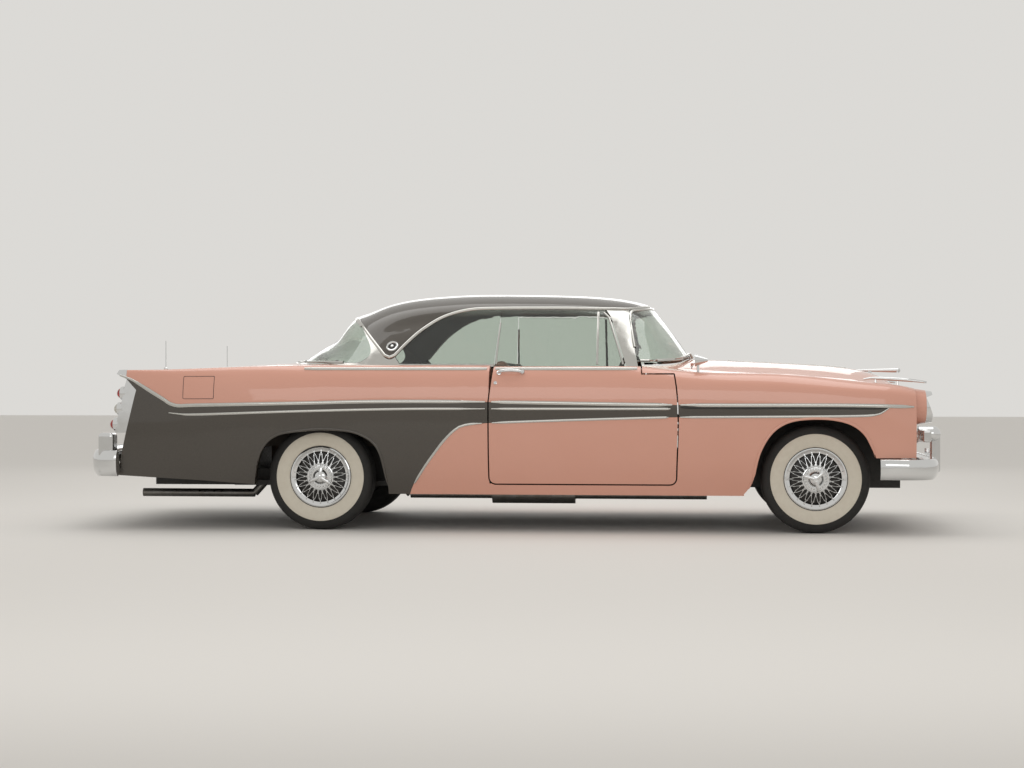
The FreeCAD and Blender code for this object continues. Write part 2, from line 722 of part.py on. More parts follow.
body_station_shares = (-2.56, -2.5, -2.4, -2.2, -1.9, -1.6, -1.3, -0.8, -0.3, 0.3, 0.8, 1.1, 1.35, 1.65,
                       2.0,
                       2.3, 2.45, 2.55, 2.6)
cabin_station_shares = (-1.56, -1.495, -1.4, -1.3, -1.2, -1.1, -1.0, -0.9, -0.7, -0.5, -0.3, 0, 0.4, 0.65,
                        0.75,
                        0.85, 0.93, 0.98, 1.05, 1.12, 1.191, 1.24)
# How far the inside of the body shell lies from each body line, as shares across and up
body_inset_shares = ((0, -0.030), (0, -0.030), (0, -0.030), (-0.005, -0.038), (-0.015, -0.062),
                     (-0.050, -0.088),
                     (-0.078, -0.072), (-0.086, -0.035), (-0.088, 0), (-0.088, 0), (-0.086, 0),
                     (-0.082, 0.010),
                     (-0.078, 0))
hidden_foot_share = 0.100
far_share = 3
# Boxes that part the body into panels: low and high X, Y and Z as grid shares, left side
box_shares = {
    "left half": (-3, 3, 0, 2, 0, 2),
    "wing": (1.050, 3, 0.500, 2, 0, 2),
    "beside cowl": (0.800, 1.190, 0, 2, 1.013, 2),
    "sill": (-0.103, 1.050, 0.500, 2, 0, 0.312),
    "quarter": (-3, -0.103, 0.300, 2, 0, 2),
    "beside rear deck": (-1.700, -1.300, 0, 0.690, 0, 2),
    "between fins": (-3, -2.490, 0, 0.664, 0, 2),
    "hood": (1, 3, -2, 2, 0.800, 2),
    "deck lid": (-3, -1.300, -2, 2, 0.800, 2),
    "deck lid face": (-2.512, -2.492, -0.640, 0.640, 0.690, 0.890),
    "cowl": (0.857, 1.300, -2, 2, 1.013, 2),
    "ahead of cowl": (1.190, 2, 0.500, 2, 0, 2),
    "rear deck": (-1.700, -1.300, -0.690, 0.690, 0.800, 2),
    "front guard": (2.730, 2.792, 0.575, 0.625, 0.385, 0.620),
    "front bracket": (2.560, 2.760, 0.380, 0.420, 0.352, 0.378),
    "front upper bar": (2.648, 2.700, 0.600, 0.885, 0.585, 0.660),
    "front plate boss": (2.772, 2.803, -0.030, 0.030, 0.400, 0.460),
    "rear pod": (-2.678, -2.575, 0.845, 0.955, 0.350, 0.632),
    "rear bracket": (-2.765, -2.440, 0.380, 0.420, 0.378, 0.404),
    "rear plate boss": (-2.803, -2.780, -0.030, 0.030, 0.410, 0.480),
    "nose": (2.560, 2.595, -0.845, 0.845, 0.500, 0.833),
    "nose middle": (2.560, 2.595, -0.250, 0.250, 0.833, 0.858),
    "tail": (-2.490, -2.470, -0.880, 0.880, 0.440, 0.825),
    "deck lid opening": (-2.600, -2.400, -0.647, 0.647, 0.683, 1),
}

# Outlines in side view, as grid shares of X and Z. Arches are measured from their axle.

front_arch_shares = [
    [(-0.452, 0.18), (-0.455, 0.252)],
    [(-0.455, 0.252), (-0.405, 0.330), (-0.370, 0.482), (-0.323, 0.591), (-0.251, 0.676), (-0.150, 0.722),
     (0, 0.735), (0.120, 0.728), (0.215, 0.700), (0.295, 0.640), (0.340, 0.560), (0.369, 0.486)],
    [(0.369, 0.486), (0.9, 0.486)],
    [(0.9, 0.486), (0.9, 0.18)],
    [(0.9, 0.18), (-0.452, 0.18)],
]
rear_arch_shares = [
    [(0.460, 0.18), (0.457, 0.288)],
    [(0.457, 0.288), (0.434, 0.403), (0.412, 0.503), (0.365, 0.578), (0.266, 0.634), (0.149, 0.656),
     (0, 0.660), (-0.149, 0.645), (-0.277, 0.617), (-0.365, 0.530), (-0.405, 0.420), (-0.420, 0.300)],
    [(-0.420, 0.300), (-0.801, 0.326)],
    [(-0.801, 0.326), (-1.36, 0.357)],
    [(-1.36, 0.357), (-1.36, 0.18)],
    [(-1.36, 0.18), (0.460, 0.18)],
]
door_shares = [
    [(-0.075, 1.066), (0.868, 1.066)],
    [(0.868, 1.066), (0.872, 1.013)],
    [(0.872, 1.013), (1.079, 1.013)],
    [(1.079, 1.013), (1.099, 0.860), (1.102, 0.600), (1.094, 0.352)],
    [(1.094, 0.352), (1.082, 0.323), (1.052, 0.312)],
    [(1.052, 0.312), (-0.061, 0.312)],
    [(-0.061, 0.312), (-0.090, 0.324), (-0.101, 0.355)],
    [(-0.101, 0.355), (-0.101, 0.837)],
    [(-0.101, 0.837), (-0.075, 1.066)],
]
roof_shares = [
    [(-1.112, 1.650), (-1.110, 1.418)],
    [(-1.110, 1.418), (-1.055, 1.385), (-0.985, 1.326), (-0.905, 1.240), (-0.831, 1.159)],
    [(-0.831, 1.159), (-0.805, 1.128), (-0.770, 1.114), (-0.735, 1.130)],
    [(-0.735, 1.130), (-0.663, 1.212), (-0.563, 1.304), (-0.429, 1.387), (-0.262, 1.433), (-0.063, 1.442)],
    [(-0.063, 1.442), (0.640, 1.438)],
    [(0.640, 1.438), (0.800, 1.441), (0.962, 1.472)],
    [(0.962, 1.472), (0.962, 1.650)],
    [(0.962, 1.650), (-1.112, 1.650)],
]
pillar_shares = chain((0.776, 1.067), (0.764, 1.103), (0.673, 1.390), (0.641, 1.4377), (0.786, 1.440),
                      (0.788, 1.381), (0.843, 1.096), (0.850, 1.067))
windshield_shares = [
    [(0.8435, 1.100), (1.101, 1.110)],
    [(1.101, 1.110), (1.191, 1.141)],
    [(1.191, 1.141), (1.300, 1.200)],
    [(1.300, 1.200), (1.300, 1.600)],
    [(1.300, 1.600), (0.970, 1.480)],
    [(0.970, 1.480), (0.962, 1.4717)],
    [(0.962, 1.4717), (0.800, 1.4407), (0.7865, 1.4397)],
    [(0.7865, 1.4397), (0.7885, 1.381)],
    [(0.7885, 1.381), (0.8435, 1.100)],
]
door_glass_shares = chain((-0.075, 1.0663), (-0.045, 1.433), (0.628, 1.430), (0.663, 1.391), (0.756, 1.098),
                          (0.764, 1.0663))
quarter_glass_shares = [
    [(-0.083, 1.082), (-0.053, 1.4415)],
    [(-0.053, 1.4415), (-0.063, 1.4417), (-0.262, 1.4327), (-0.429, 1.3867), (-0.563, 1.3037),
     (-0.663, 1.2117),
     (-0.7348, 1.1297)],
    [(-0.7348, 1.1297), (-0.700, 1.082)],
    [(-0.700, 1.082), (-0.083, 1.082)],
]
pillar_foot_shares = [
    [(-0.985, 1.3257), (-0.905, 1.2397), (-0.831, 1.1587)],
    [(-0.831, 1.1587), (-0.805, 1.1277), (-0.770, 1.1137), (-0.7352, 1.1297)],
    [(-0.7352, 1.1297), (-0.7003, 1.0817)],
    [(-0.7003, 1.0817), (-0.083, 1.0817)],
    [(-0.083, 1.0817), (-0.083, 1.0663)],
    [(-0.083, 1.0663), (-0.900, 1.070)],
    [(-0.900, 1.070), (-1.200, 1.074)],
    [(-1.200, 1.074), (-1.480, 1.090)],
    [(-1.480, 1.090), (-1.520, 1.102)],
    [(-1.520, 1.102), (-1.400, 1.100)],
    [(-1.400, 1.100), (-1.020, 1.092)],
    [(-1.020, 1.092), (-0.950, 1.105), (-0.905, 1.150), (-0.915, 1.210), (-0.985, 1.3257)],
]
backlight_shares = [
    [(-0.985, 1.3254), (-0.9153, 1.210), (-0.9053, 1.150), (-0.9503, 1.1053), (-1.020, 1.0923)],
    [(-1.020, 1.0923), (-1.400, 1.1003)],
    [(-1.400, 1.1003), (-1.560, 1.104)],
    [(-1.560, 1.104), (-1.560, 1.500)],
    [(-1.560, 1.500), (-1.1103, 1.4177)],
    [(-1.1103, 1.4177), (-1.055, 1.3847), (-0.985, 1.3254)],
]
# Outlines in plan, as grid shares of X and Y
cabin_hole_shares = [
    [(1.196, 0), (1.180, 0.250), (1.140, 0.450), (1.080, 0.620), (1.000, 0.720), (0.900, 0.772)],
    [(0.900, 0.772), (0.840, 0.815)],
    [(0.840, 0.815), (-0.108, 0.815)],
    [(-0.108, 0.815), (-0.700, 0.805)],
    [(-0.700, 0.805), (-0.900, 0.795), (-1.050, 0.770), (-1.200, 0.715), (-1.330, 0.630), (-1.430, 0.480),
     (-1.485, 0.250), (-1.500, 0)],
    [(-1.500, 0), (1.196, 0)],
]
hood_shares = chain((1.000, 0.719), (1.340, 0.706), (1.630, 0.691), (2.000, 0.666), (2.292, 0.636),
                    (2.500, 0.606),
                    (2.700, 0.580), (2.700, 0), (1.000, 0))
lid_shares = chain((-1.450, 0.690), (-1.600, 0.686), (-2.000, 0.676), (-2.200, 0.671), (-2.400, 0.661),
                   (-2.512, 0.650),
                   (-2.512, 0), (-1.450, 0))


tail_housing_shares = chain((-2.424, 0.912), (-2.488, 0.984), (-2.502, 0.940), (-2.520, 0.850),
                            (-2.548, 0.740),
                            (-2.566, 0.650), (-2.572, 0.634), (-2.490, 0.634))
tail_trim_shares = chain((-2.512, 1.100), (-2.557, 1.019), (-2.490, 0.986), (-2.422, 0.914),
                         (-2.556, 0.359),
                         (-2.556, 0.100), (-2.800, 0.100), (-2.800, 1.100))
tail_lamp_shares = ((-2.480, 0.892), (-2.500, 0.790), (-2.526, 0.688))


def main_forms():
    """The body and cabin as closed forms, whole and hollow."""
    body_lines = read_lines(body_line_shares)
    cabin_lines = read_lines(cabin_line_shares)
    long, high = value("grid_long"), value("grid_high")
    overrun = value("cut_overrun")
    outer = [(share * long, section(body_lines, share)) for share in body_station_shares]
    inner = []
    for share in body_station_shares:
        half = section(body_lines, share, body_inset_shares)
        inner.append((share * long, half + [(half[-1][0], hidden_foot_share * high)]))
    inner.insert(0, (inner[0][0] - overrun, inner[0][1]))
    inner.append((inner[-1][0] + overrun, inner[-1][1]))
    cabin = [(share * long, section(cabin_lines, share)) for share in cabin_station_shares]
    body = form(outer).cut(form(inner))
    cabin_form = form(cabin)
    layers = {}
    for name in ("cabin_skin", "pillar_skin", "glass_thickness"):
        core = [(place, inward(points, value(name))) for place, points in cabin]
        core[0] = (core[0][0] - overrun, core[0][1])
        core[-1] = (core[-1][0] + overrun, core[-1][1])
        layers[name] = cabin_form.cut(form(core))
    return body, layers


body_shell, cabin_layers = main_forms()
high_limit = 2 * value("grid_high")
side_limit = 2 * value("grid_wide")
curve_stops = 9


def shifted(runs, axle_text):
    """An arch outline moved from its axle to its place on the car."""
    wire = outline(runs)
    wire.translate(Vector(value(axle_text), 0, 0))
    return wire


def widened(wire, gap_text):
    """The outline moved outwards, its curves first made into short straight runs."""
    points = []
    for edge in wire.OrderedEdges:
        run = edge.discretize(2 if edge.Curve.TypeId == "Part::GeomLine" else curve_stops)
        if points and run[0].distanceToPoint(points[-1]) > run[-1].distanceToPoint(points[-1]):
            run.reverse()
        points += run[1:] if points else run
    return Part.makePolygon(points[:-1] + points[:1]).makeOffset2D(value(gap_text))


def plan_region(runs, extra):
    """A half outline in plan and its mirror image as a prism, widened where a gap is asked for."""
    wire = outline(runs, True)
    half = plan_prism(widened(wire, "panel_gap") if extra else wire, 0, high_limit)
    return half.fuse(mirrored(half))


def across(wire):
    return side_prism(wire, -side_limit, side_limit)


def cylinder(radius, height, foot, direction):
    return Part.makeCylinder(radius, height, foot, direction)


def lid_edge(name, extra):
    """The round front or rear edge of a lid, about its hinge line."""
    centre = Vector(value(name + "_hinge_place"), -side_limit, value(name + "_hinge_height"))
    return cylinder(value(name + "_edge_radius") + extra, 2 * side_limit, centre, Vector(0, 1, 0))


front_arch = across(shifted(front_arch_shares, "front_axle_place"))
rear_arch = across(shifted(rear_arch_shares, "front_axle_place - wheelbase"))
cabin_hole = plan_region(cabin_hole_shares, 0).removeSplitter()
door_wire = outline(door_shares)
door_hole = across(widened(door_wire, "door_gap"))
grid_long, grid_wide, grid_high = value("grid_long"), value("grid_wide"), value("grid_high")
gap = value("panel_gap")
front_end, rear_end = far_share * grid_long, -far_share * grid_long


def hood_region(extra):
    """What lies ahead of the hood's rear edge, between the wings."""
    hinge = value("hood_hinge_place")
    region = plan_region(hood_shares, extra)
    ahead = block(Vector(hinge, -side_limit, 0), Vector(front_end, side_limit, high_limit))
    return region.common(ahead.fuse(lid_edge("hood", extra)))


def lid_region(extra):
    hinge = value("lid_hinge_place")
    region = plan_region(lid_shares, extra)
    behind = block(Vector(rear_end, -side_limit, 0), Vector(hinge, side_limit, high_limit))
    return region.common(behind.fuse(lid_edge("lid", extra)))


def slab(name, side=1):
    """A named box of the share table; side -1 gives the one on the right."""
    x_low, x_high, y_low, y_high, z_low, z_high = box_shares[name]
    y_low, y_high = sorted((side * y_low, side * y_high))
    return block(
        Vector(x_low * grid_long, y_low * grid_wide, z_low * grid_high),
        Vector(x_high * grid_long, y_high * grid_wide, z_high * grid_high),
    )


def door_hinge_parts(height):
    """One left door hinge: pocket in the door, pin in it, arm from the body."""
    centre = Vector(value("door_hinge_place"), value("door_hinge_inset"), height)
    pocket_half = value("hinge_pocket_half")
    seam = value("door_hinge_place") + value("hinge_leg_reach") + value("cut_overrun")
    pocket = block(
        Vector(centre.x - value("hinge_pocket_back"), centre.y - value("hinge_pocket_depth"),
               height - pocket_half),
        Vector(seam, centre.y + value("hinge_pocket_skin"), height + pocket_half),
    )
    pin = cylinder(value("hinge_pin_radius"), 2 * pocket_half, centre - Vector(0, 0, pocket_half),
                   Vector(0, 0, 1))
    half = value("hinge_knuckle_half")
    foot = centre - Vector(0, 0, half)
    knuckle = cylinder(value("hinge_knuckle_radius"), 2 * half, foot, Vector(0, 0, 1))
    width, reach = value("hinge_leg_width"), value("hinge_leg_reach")
    inward_leg = block(foot - Vector(width / 2, reach, 0), foot + Vector(width / 2, 0, 2 * half))
    forward_leg = block(foot + Vector(-width / 2, -reach, 0),
                        foot + Vector(seam - centre.x, width - reach, 2 * half))
    bore = cylinder(value("hinge_pin_radius") + value("hinge_pin_gap"), 2 * half, foot, Vector(0, 0, 1))
    arm = knuckle.fuse([inward_leg, forward_leg]).cut(bore)
    return pocket, pin, arm


hinge_heights = [value("door_hinge_height"), value("door_hinge_height") - value("door_hinge_drop")]


def make_sides():
    """Front wings, doors, sills and rear quarters, left ones mirrored to the right."""
    shell = body_shell.common(slab("left half"))
    hood_gap_strip = plan_prism(widened(outline(hood_shares, True), "panel_gap"), 0, high_limit)
    lid_gap_strip = plan_prism(widened(outline(lid_shares, True), "panel_gap"), 0, high_limit)
    hollow = shell.cut([cabin_hole, door_hole])
    wing = hollow.common(slab("wing")).cut([front_arch, hood_gap_strip])
    wing = wing.cut(slab("beside cowl"))
    lamp = Vector(value("headlamp_back - cut_overrun"), value("headlamp_place"), value("headlamp_height"))
    wing = wing.cut(cylinder(value("headlamp_bezel_radius + seat_gap"), grid_long, lamp, Vector(1, 0, 0)))
    arms = [door_hinge_parts(height)[2] for height in hinge_heights]
    wing = wing.fuse(arms)
    sill = hollow.common(slab("sill"))
    quarter = hollow.common(slab("quarter")).cut([rear_arch, lid_gap_strip])
    quarter = quarter.cut([slab("beside rear deck"), slab("between fins"),
                           across(outline(tail_trim_shares))])
    door = shell.common(side_prism(door_wire, value("door_inner_face"), side_limit))
    for height in hinge_heights:
        pocket, pin, arm = door_hinge_parts(height)
        door = door.cut(pocket).fuse(pin)
    for label, shape in (("front_wing", wing), ("door", door), ("rear_quarter", quarter)):
        panel(label + "_left", shape)
        panel(label + "_right", mirrored(shape))
    panel("sills", Part.Compound([sill, mirrored(sill)]))


def lid_arm(name, side, lid_bottom, post_bottom):
    """A lid's hinge arm and the post with the pin that it turns on."""
    place, height = value(name + "_hinge_place"), value(name + "_hinge_height")
    width, radius = value("lid_arm_width"), value("lid_arm_radius")
    foot = Vector(place, side - width / 2, height)
    eye = cylinder(radius, width, foot, Vector(0, 1, 0))
    web = block(foot - Vector(radius, 0, 0), Vector(place + radius, side + width / 2, lid_bottom))
    bore = cylinder(value("lid_pin_radius") + value("lid_pin_gap"), width, foot, Vector(0, 1, 0))
    arm = eye.fuse(web).cut(bore)
    post_foot = foot + Vector(0, width + value("lid_arm_gap"), 0)
    post = cylinder(radius, width, post_foot, Vector(0, 1, 0))
    post = post.fuse(block(Vector(place - radius, post_foot.y, post_bottom),
                           post_foot + Vector(radius, width, 0)))
    pin = cylinder(value("lid_pin_radius"), 2 * width + value("lid_arm_gap"), foot, Vector(0, 1, 0))
    return arm, post.fuse(pin)


def make_lids():
    """The hood and the deck lid with their hinge arms, and the panels behind them."""
    hood = body_shell.common(hood_region(0)).common(slab("hood"))
    lid = body_shell.common(lid_region(0)).common(slab("deck lid"))
    posts = {}
    for name, skin, bottom in (("hood", hood, "apron_top"), ("lid", lid, "trunk_floor_top + seat_gap")):
        side = value("lid_arm_place")
        place = value(name + "_hinge_place")
        probe = Part.makeLine(Vector(place, side, 0), Vector(place, side, high_limit))
        under = min(vertex.Point.z for vertex in skin.common(probe).Vertexes)
        arm, post = lid_arm(name, side, under + value("lid_arm_width"), value(bottom))
        posts[name] = [post, mirrored(post)]
        if name == "hood":
            hood = hood.fuse([arm, mirrored(arm)])
        else:
            lid = lid.fuse([arm, mirrored(arm)])
    panel("hood", hood)
    panel("deck_lid", lid.fuse(slab("deck lid face")))
    cowl = body_shell.common(slab("cowl"))
    cowl = cowl.cut([cabin_hole, door_hole, hood_region(gap)])
    cowl = cowl.cut([slab("ahead of cowl"), slab("ahead of cowl", -1)])
    panel("cowl", cowl)
    filler = body_shell.common(slab("rear deck"))
    quarters = [nodes["rear_quarter_left"].Shape, nodes["rear_quarter_right"].Shape]
    panel("rear_deck", filler.cut([cabin_hole, lid_region(gap)] + quarters))
    return posts


def make_cabin():
    """Roof, pillars, glass and the bright panels at the foot of the roof."""
    roof_skin, pillar_skin = cabin_layers["cabin_skin"], cabin_layers["pillar_skin"]
    glass = cabin_layers["glass_thickness"]
    roof = roof_skin.common(across(outline(roof_shares)))
    pillars = pillar_skin.common(across(outline(pillar_shares))).cut(roof)
    below = [roof, nodes["rear_deck"].Shape, nodes["rear_quarter_left"].Shape,
             nodes["rear_quarter_right"].Shape]
    feet = pillar_skin.common(across(outline(pillar_foot_shares))).cut(below)
    panel("roof", roof)
    panel("windshield_pillars", pillars)
    panel("windshield_glass", glass.common(across(outline(windshield_shares))).cut([roof, pillars,
                                                                                    nodes["cowl"].Shape]))
    panel("roof_feet", feet)
    panel("backlight_glass", glass.common(across(outline(backlight_shares))).cut([feet] + below))
    panel("quarter_glass", glass.common(across(outline(quarter_glass_shares))).cut([feet] + below))
    side_glass = glass.common(side_prism(outline(door_glass_shares), 0, side_limit))
    panel("door_glass_left", side_glass)
    panel("door_glass_right", mirrored(side_glass))


def make_wheels():
    """Tyres and wheels at the four corners; the wheel holds its drum and bright cover."""
    corners = {
        "front_left": ("front_axle_place", "front_track / 2", 1),
        "front_right": ("front_axle_place", "-front_track / 2", -1),
        "rear_left": ("front_axle_place - wheelbase", "rear_track / 2", 1),
        "rear_right": ("front_axle_place - wheelbase", "-rear_track / 2", -1),
    }
    half = "tyre_bead_half_width"
    for corner, (x, y, out) in corners.items():
        tyre = turned_body("tyre_" + corner, [
            ("tyre_bead_radius", "-" + half), ("tyre_bulge_radius", "-tyre_half_width"),
            ("tyre_shoulder_radius", "-tyre_shoulder_half_width"), ("tyre_radius", "-tread_half_width"),
            ("tyre_radius", "tread_half_width"), ("tyre_shoulder_radius", "tyre_shoulder_half_width"),
            ("tyre_bulge_radius", "tyre_half_width"), ("tyre_bead_radius", half),
        ])
        bore = "spindle_radius + spindle_gap"
        wheel = turned_body("wheel_" + corner, [
            (bore, "-drum_back"), ("drum_radius", "-drum_back"), ("drum_radius", "-drum_face"),
            ("tyre_bead_radius - rim_wall", "-drum_face"), ("tyre_bead_radius - rim_wall", "-" + half),
            ("tyre_bead_radius", "-" + half), ("tyre_bead_radius", half),
            ("rim_lip_radius", half + " + rim_lip_width / 2"),
            ("rim_lip_radius", half + " + rim_lip_width"), ("cover_ring_radius", half + " + rim_lip_width"),
            ("cover_dish_radius", half + " - cover_dish_depth"),
            ("cover_disc_radius", half + " + cover_disc_rise"),
            ("cover_hub_radius", half + " + cover_disc_rise"),
            ("cover_hub_radius", half + " + cover_hub_rise"),
            ("0", half + " + cover_hub_rise"), ("0", "-spindle_stop"), (bore, "-spindle_stop"),
        ])
        for item, name in ((tyre, "tyre_"), (wheel, "wheel_")):
            if out < 0:
                item.Placement = Placement(Vector(), Rotation(Vector(0, 0, 1), 180))
            move(item, x, y, "tyre_radius")
            name_node(item, name + corner)


def make_front_axle():
    """Knuckles with kingpin, spindle and steering arm, the tie rod and the control arms."""
    kingpin = "front_track / 2 - kingpin_inset"
    axle = "front_axle_place"
    for corner, sign in (("left", ""), ("right", "-")):
        out = 1 if corner == "left" else -1
        y = "%s(%s)" % (sign, kingpin)
        post = rod("kingpin_" + corner, "kingpin_radius", "2 * kingpin_half_height", axle, y,
                   "tyre_radius - kingpin_half_height")
        pins = rod("kingpin_pins_" + corner, "kingpin_pin_radius",
                   "2 * kingpin_half_height + 2 * kingpin_pin_length",
                   axle, y, "tyre_radius - kingpin_half_height - kingpin_pin_length")
        length = "kingpin_inset - spindle_stop - spindle_radius / 4"
        spindle_y = y if out > 0 else "-(%s) - (%s)" % (kingpin, length)
        spindle = rod("spindle_" + corner, "spindle_radius", length, axle, spindle_y, "tyre_radius", "Y")
        plate_reach = "front_track / 2 - drum_back - backing_plate_gap"
        plate_y = plate_reach + " - backing_plate_thickness" if out > 0 else "-(%s)" % plate_reach
        plate = rod("backing_plate_" + corner, "backing_plate_radius", "backing_plate_thickness", axle,
                    plate_y,
                    "tyre_radius", "Y")
        arm_low = "tyre_radius - steering_arm_drop"
        inner = "%s - steering_arm_in - steering_arm_width / 2" % kingpin
        outer = "%s + kingpin_radius / 2" % kingpin
        arm_y = (inner, outer) if out > 0 else ("-(%s)" % outer, "-(%s)" % inner)
        arm = box_between("steering_arm_" + corner, (axle + " - steering_arm_back - steering_arm_width / 2",
                                                     axle), arm_y,
                          (arm_low, arm_low + " + steering_arm_thickness"))
        pin_y = "%s - steering_arm_in" % kingpin
        pin_y = pin_y if out > 0 else "-(%s)" % pin_y
        ball_pin = rod("ball_pin_" + corner, "ball_pin_radius",
                       "2 * tie_rod_eye_half + steering_arm_thickness",
                       axle + " - steering_arm_back", pin_y, arm_low + " - 2 * tie_rod_eye_half")
        name_node(united("knuckle_" + corner, [post, pins, spindle, plate, arm, ball_pin]),
                  "knuckle_" + corner)
    reach = "%s - steering_arm_in" % kingpin
    rod_z = "tyre_radius - steering_arm_drop - tie_rod_eye_half - ball_pin_gap"
    bar_end = "%s - (tie_rod_eye_radius + ball_pin_radius) / 2" % reach
    bar = rod("tie_rod_bar", "tie_rod_radius", "2 * (%s)" % bar_end, axle + " - steering_arm_back",
              "-(%s)" % bar_end,
              rod_z, "Y")
    eyes = []
    holes = []
    for number, sign in enumerate(("", "-")):
        place = (axle + " - steering_arm_back", "%s(%s)" % (sign, reach), rod_z + " - tie_rod_eye_half")
        eyes.append(rod("tie_rod_eye_%d" % number, "tie_rod_eye_radius", "2 * tie_rod_eye_half", *place))
        holes.append(rod("tie_rod_hole_%d" % number, "ball_pin_radius + ball_pin_gap",
                         "3 * tie_rod_eye_half", place[0],
                         place[1], rod_z + " - 1.5 * tie_rod_eye_half"))
    tie = less("tie_rod", united("tie_rod_solid", [bar] + eyes), united("tie_rod_holes", holes))
    name_node(tie, "tie_rod")
    arms = []
    for side, sign in enumerate(("", "-")):
        for level, (height, toward) in enumerate((
            ("tyre_radius - kingpin_half_height - seat_gap - control_arm_thickness", -1),
            ("tyre_radius + kingpin_half_height + seat_gap", 1),
        )):
            name = "control_arm_%d_%d" % (side, level)
            low, high = "rail_place - rail_width / 2", kingpin + " + control_arm_foot / 2"
            y = (low, high) if not sign else ("-(%s)" % high, "-(%s)" % low)
            bar = box_between(name, (axle + " - control_arm_foot / 2", axle + " + control_arm_foot / 2"), y,
                              (height, height + " + control_arm_thickness"))
            wide_y = (low, "rail_place + rail_width / 2 + control_arm_foot")
            wide_y = wide_y if not sign else ("-(%s)" % wide_y[1], "-(%s)" % wide_y[0])
            root = box_between(name + "_root", (axle + " - control_arm_spread",
                                                axle + " + control_arm_spread"), wide_y,
                               (height, height + " + control_arm_thickness"))
            bore = rod(name + "_bore", "kingpin_pin_radius + spindle_gap", "3 * control_arm_thickness",
                       axle,
                       "%s(%s)" % (sign, kingpin), height + " - control_arm_thickness")
            arms.append(less(name + "_bored", united(name + "_solid", [bar, root]), bore))
        tower = rod("coil_tower_%d" % side, "coil_spring_radius",
                    "2 * kingpin_half_height + control_arm_thickness", axle,
                    "%s(rail_place + rail_width / 2)" % sign,
                    "tyre_radius - kingpin_half_height - control_arm_thickness")
        arms.append(tower)
    beam = box_between("front_beam", (axle + " - crossmember_width / 2", axle + " + crossmember_width / 2"),
                       ("-rail_place", "rail_place"),
                       ("tyre_radius - kingpin_half_height - control_arm_thickness",
                                                      "rail_top - rail_height - seat_gap"))
    solid = united("suspension_solid", arms + [beam])
    name_node(less("front_suspension", solid, nodes["chassis_frame"]), "front_suspension")


